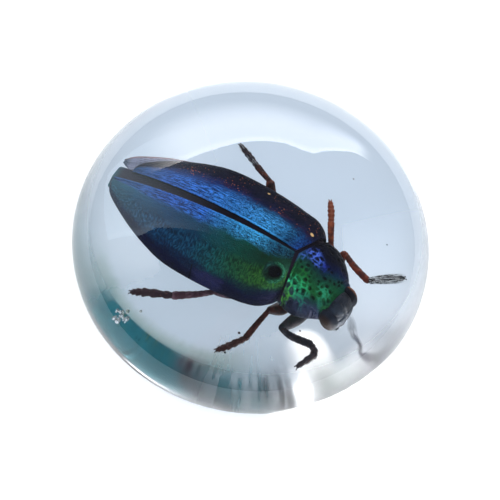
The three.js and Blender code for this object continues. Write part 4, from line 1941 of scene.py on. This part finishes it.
def six_legs() -> list[Leg]:
    """The six legs, each with its stations and finish."""
    rust = HairFinish("rusty_hairs", tint(60, 30, 20), tint(140, 86, 52))
    silver = HairFinish("silver_hairs", tint(120, 126, 134), tint(226, 232, 236))
    purple = leg_finish(
        "purple_leg", tint(70, 42, 56), tint(116, 86, 100), tint(132, 80, 60), tint(52, 34, 44)
    )
    brown = leg_finish(
        "brown_leg", tint(40, 12, 12), tint(74, 28, 20), tint(96, 46, 32), tint(58, 30, 28)
    )
    slate = leg_finish(
        "slate_leg", tint(30, 32, 42), tint(64, 60, 68), tint(116, 62, 42), tint(54, 48, 54)
    )
    dusky = leg_finish(
        "dusky_leg", tint(34, 16, 18), tint(92, 40, 26), tint(156, 88, 52), tint(34, 26, 34)
    )
    amber = leg_finish(
        "amber_leg", tint(74, 28, 22), tint(150, 72, 40), tint(190, 112, 66), tint(120, 58, 36)
    )
    red = leg_finish(
        "red_leg", tint(66, 22, 16), tint(126, 50, 26), tint(140, 78, 48), tint(16, 18, 22)
    )
    return [
        Leg(
            "leg_hind_right",
            ((3.6, -3.8, 3.9, 0.7), (1.6, -6.4, 4.9, 0.95), (-0.5, -8.3, 6.7, 0.6)),
            ((-0.5, -8.3, 6.7, 0.4), (-2.6, -10.0, 6.95, 0.45), (-5.7, -11.85, 7.0, 0.55)),
            ((-5.7, -11.85, 7.0, 0.5), (-9.5, -13.1, 6.8, 0.62), (-11.2, -13.7, 6.5, 0.4)),
            purple,
            rust,
        ),
        Leg(
            "leg_middle_right",
            ((9.6, -2.6, 3.7, 0.7), (8.9, -4.9, 4.4, 1.05), (7.65, -7.0, 6.6, 0.6)),
            ((7.65, -7.0, 6.6, 0.42), (7.0, -9.8, 6.6, 0.48), (6.5, -12.2, 6.4, 0.52)),
            ((6.5, -12.2, 6.4, 0.5), (4.9, -14.1, 6.1, 0.6), (3.7, -15.2, 5.8, 0.4)),
            brown,
            rust,
            slim=0.86,
        ),
        Leg(
            "leg_front_right",
            ((12.6, -2.6, 3.7, 0.7), (11.4, -5.3, 4.2, 1.0), (10.35, -8.3, 6.2, 0.62)),
            ((10.35, -8.3, 6.2, 0.5), (12.2, -8.5, 6.0, 0.6), (15.1, -7.9, 5.6, 0.6)),
            ((15.1, -7.9, 5.6, 0.55), (16.0, -8.8, 5.4, 0.66), (14.7, -11.2, 5.1, 0.42)),
            slate,
            rust,
            slim=0.82,
        ),
        Leg(
            "leg_hind_left",
            ((3.0, 4.4, 4.0, 0.7), (0.9, 7.4, 5.2, 0.95), (-1.5, 11.1, 8.2, 0.68)),
            ((-1.5, 11.1, 8.2, 0.42), (-3.0, 11.7, 8.4, 0.46), (-4.5, 12.45, 8.3, 0.5)),
            ((-4.5, 12.45, 8.3, 0.45), (-6.6, 13.6, 8.2, 0.55), (-8.4, 14.6, 7.8, 0.36)),
            dusky,
            silver,
            brush=14,
        ),
        Leg(
            "leg_middle_left",
            ((8.6, 3.0, 4.0, 0.7), (10.2, 4.6, 5.0, 0.9), (11.2, 6.6, 7.3, 0.6)),
            ((11.2, 6.6, 7.3, 0.42), (10.3, 8.4, 7.8, 0.46), (9.65, 9.8, 7.9, 0.48)),
            ((9.65, 9.8, 7.9, 0.45), (8.9, 11.4, 7.9, 0.56), (8.1, 12.8, 7.7, 0.4)),
            amber,
            rust,
        ),
        Leg(
            "leg_front_left",
            ((12.0, 2.0, 3.9, 0.7), (12.8, 4.2, 5.2, 0.85), (13.6, 6.5, 7.15, 0.55)),
            ((13.6, 6.5, 7.15, 0.42), (15.6, 5.4, 7.1, 0.5), (18.3, 4.6, 6.7, 0.5)),
            ((18.3, 4.6, 6.7, 0.42), (20.4, 6.4, 6.5, 0.62), (22.3, 8.1, 6.3, 0.36)),
            red,
            silver,
            brush=190,
        ),
    ]


# ---- Studio -------------------------------------------------------------------------------------


def direction(azimuth: float, elevation: float) -> Vector:
    """The way out to a place round the block; azimuth 0 is towards -Y, 90 towards +X."""
    turn, lift = math.radians(azimuth), math.radians(elevation)
    return Vector(
        (math.sin(turn) * math.cos(lift), -math.cos(turn) * math.cos(lift), math.sin(lift))
    )


@dataclass
class LightCard:
    """A soft glowing card that faces the block, sized by the tangents of its angles."""

    name: str
    azimuth: float
    elevation: float
    radiance: float
    foot: float
    crest: tuple[Pair, ...]
    spin: float = 0.0
    tone: Colour = WHITE
    fade_along: tuple[float, float] = (-1.0, -0.5)
    fade_back: tuple[float, float] = (2.0, 1.5)
    fade_up: tuple[float, float] = (-1.0, -0.5)
    distance: float = 0.6

    def build(self) -> None:
        """Adds the card, from its straight foot up to its crest."""
        way = direction(self.azimuth, self.elevation)
        aim = (-way).to_track_quat("-Z", "Y").to_matrix()
        aim = aim @ Matrix.Rotation(math.radians(self.spin), 3, "Z")

        def place(share: float, up: float) -> Vector:
            """A point of the card."""
            x = lerp(self.crest[0][0], self.crest[-1][0], share)
            y = lerp(self.foot, between(self.crest, x), up)
            return (way + aim @ Vector((x, y, 0))) * self.distance

        form = Form()
        form.sheet(120, 12, place)
        finish = CardFinish(
            self.name, self.tone, self.radiance, self.fade_along, self.fade_back, self.fade_up
        )
        form.stand(self.name, finish.material())


@dataclass
class Softbox:
    """A soft square light that faces the block."""

    name: str
    azimuth: float
    elevation: float
    size: float
    radiance: float
    distance: float = 0.6

    def build(self) -> None:
        """Adds the light, with its power worked out from how bright its face is."""
        way = direction(self.azimuth, self.elevation)
        lamp = bpy.data.lights.new(self.name, "AREA")
        lamp.size = self.size
        lamp.energy = self.radiance * math.pi * self.size**2
        holder = placed(self.name, lamp)
        aim = (-way).to_track_quat("-Z", "Y").to_matrix().to_4x4()
        holder.matrix_world = Matrix.Translation(way * self.distance) @ aim
        holder.visible_glossy = False
        holder.visible_transmission = False


@dataclass
class Studio:
    """The floor, the lights and the camera.

    The camera's angles are in degrees. Its lens is set by how many pixels of the frame the block's
    radius takes up, and its shift by where in the frame the object's origin lies.
    """

    elevation: float = 64.70
    azimuth: float = 15.26
    roll: float = 13.21
    distance: float = 0.180
    pixels: float = 500.0
    block_pixels: float = 170.91
    block_radius: float = 30.0 * MM
    centre: tuple[float, float] = (247.37, 260.69)
    ambient: float = 0.15
    ambient_tone: Colour = (0.86, 0.92, 1.0, 1.0)
    floor_half: float = 2.0
    floor_drop: float = 0.02 * MM

    def floor(self) -> None:
        """Lays the floor just under the block."""
        form = Form()
        bmesh.ops.create_grid(form.mesh, x_segments=1, y_segments=1, size=self.floor_half)
        form.turned(Matrix.Translation((0, 0, -self.floor_drop)))
        form.stand("floor", FloorFinish().material())

    def lights(self) -> None:
        """Sets an even surround and the soft lights."""
        world = bpy.data.worlds.new("studio")
        world.use_nodes = True
        surround = world.node_tree.nodes["Background"]
        surround.inputs["Color"].default_value = self.ambient_tone
        surround.inputs["Strength"].default_value = self.ambient
        bpy.context.scene.world = world
        LightCard(
            "sky_card",
            azimuth=241.7,
            elevation=44.6,
            radiance=1.5,
            foot=0.4,
            crest=((-0.70, -0.30), (-0.2, -0.375), (-0.04, -0.336), (0.2, -0.355), (0.7, -0.42)),
            spin=142.1,
            tone=(0.72, 0.88, 1.0, 1.0),
            fade_back=(0.84, 0.35),
            distance=0.8,
        ).build()
        LightCard(
            "window_card",
            azimuth=206.0,
            elevation=22.0,
            radiance=5.0,
            foot=-0.30,
            crest=(
                (-0.80, -0.014),
                (-0.72, 0.02),
                (-0.64, 0.06),
                (-0.52, 0.18),
                (-0.435, 0.263),
                (-0.39, 0.31),
                (-0.366, 0.35),
                (-0.29, 0.357),
                (-0.2, 0.34),
                (-0.116, 0.345),
                (0.027, 0.378),
                (0.139, 0.416),
                (0.32, 0.458),
                (0.45, 0.463),
                (0.75, 0.42),
            ),
            fade_along=(0.0, 0.12),
            fade_back=(0.96, 0.7),
            fade_up=(0.15, 0.75),
        ).build()
        Softbox("top_light", azimuth=20.0, elevation=76.0, size=0.3, radiance=3.0).build()

    def camera(self) -> None:
        """Places the camera and fits its lens and shift to the frame."""
        back = direction(self.azimuth, self.elevation)
        lens = bpy.data.cameras.new("camera")
        scale = self.block_pixels / self.block_radius
        lens.lens = scale * self.distance / self.pixels * lens.sensor_width
        lens.shift_x = (self.pixels / 2 - self.centre[0]) / self.pixels
        lens.shift_y = (self.centre[1] - self.pixels / 2) / self.pixels
        lens.clip_start = 0.01
        holder = placed("camera", lens)
        aim = (-back).to_track_quat("-Z", "Y").to_matrix().to_4x4()
        roll = Matrix.Rotation(math.radians(self.roll), 4, "Z")
        holder.matrix_world = Matrix.Translation(back * self.distance) @ aim @ roll
        bpy.context.scene.camera = holder
        bpy.context.scene.view_settings.view_transform = "Standard"

    def build(self) -> None:
        """Builds the studio."""
        self.camera()
        self.floor()
        self.lights()


RIGHT_WING = WingCaseFinish(
    name="wing_case_right_cuticle",
    middle=(
        (0.0, tint(30, 72, 56)),
        (0.12, tint(20, 62, 42)),
        (0.25, tint(18, 78, 68)),
        (0.36, tint(26, 88, 92)),
        (0.48, tint(24, 72, 102)),
        (0.65, tint(24, 68, 106)),
        (0.82, tint(34, 80, 112)),
        (1.0, tint(50, 98, 118)),
    ),
    # The stripe's blue with its painted highlight.
    band=(
        (0.0, tint(28, 70, 84)),
        (0.1, tint(34, 96, 130)),
        (0.2, tint(70, 176, 236)),
        (0.35, tint(58, 146, 208)),
        (0.5, tint(48, 106, 196)),
        (0.7, tint(42, 88, 172)),
        (0.9, tint(58, 98, 156)),
    ),
    # The margin's navy, partly painted dark reflection.
    margin=tint(13, 20, 52),
    band_fade=(0.3, 0.16),
    margin_fade=(0.76, 0.95),
    green=0.9,
    scuff=0.7,
)

LEFT_WING = WingCaseFinish(
    name="wing_case_left_cuticle",
    middle=(
        (0.0, tint(20, 28, 64)),
        (0.3, tint(20, 24, 54)),
        (0.6, tint(26, 36, 84)),
        (0.85, tint(44, 74, 132)),
        (1.0, tint(50, 88, 132)),
    ),
    # The stripe's blue with its painted highlight.
    band=(
        (0.0, tint(30, 72, 150)),
        (0.08, tint(30, 92, 140)),
        (0.2, tint(68, 164, 232)),
        (0.4, tint(54, 126, 200)),
        (0.6, tint(48, 106, 190)),
        (0.8, tint(48, 94, 172)),
        (1.0, tint(56, 92, 146)),
    ),
    # From about midway down, the far wing case darkens as painted dark reflection.
    margin=tint(16, 18, 38),
    band_fade=(0.5, 0.22),
    margin_fade=(0.42, 0.66),
    specks=True,
    # Two painted glints.
    dots=((10.6, 6.7, 0.22), (0.94, 4.4, 0.3)),
)


def main() -> None:
    """Builds the studio, the block and the beetle."""
    logging.basicConfig(level=logging.INFO, format="%(message)s")
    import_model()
    Studio().build()
    Trunk().build()
    WingCase().build(RIGHT_WING, "wing_case_right")
    WingCase(
        side=Side.LEFT,
        base_x=10.6,
        slant=2.7,
        open_at_base=0.3,
        open_slope=0.043,
        slim=0.09,
        pit_weight=0.0,
    ).build(LEFT_WING, "wing_case_left")
    HindWing().build()
    Shield().build()
    Head().build()
    for leg in six_legs():
        leg.build()
    Specks().build()
    Smoke().build()
    ClearBlock().build()


if __name__ == "__main__":
    main()
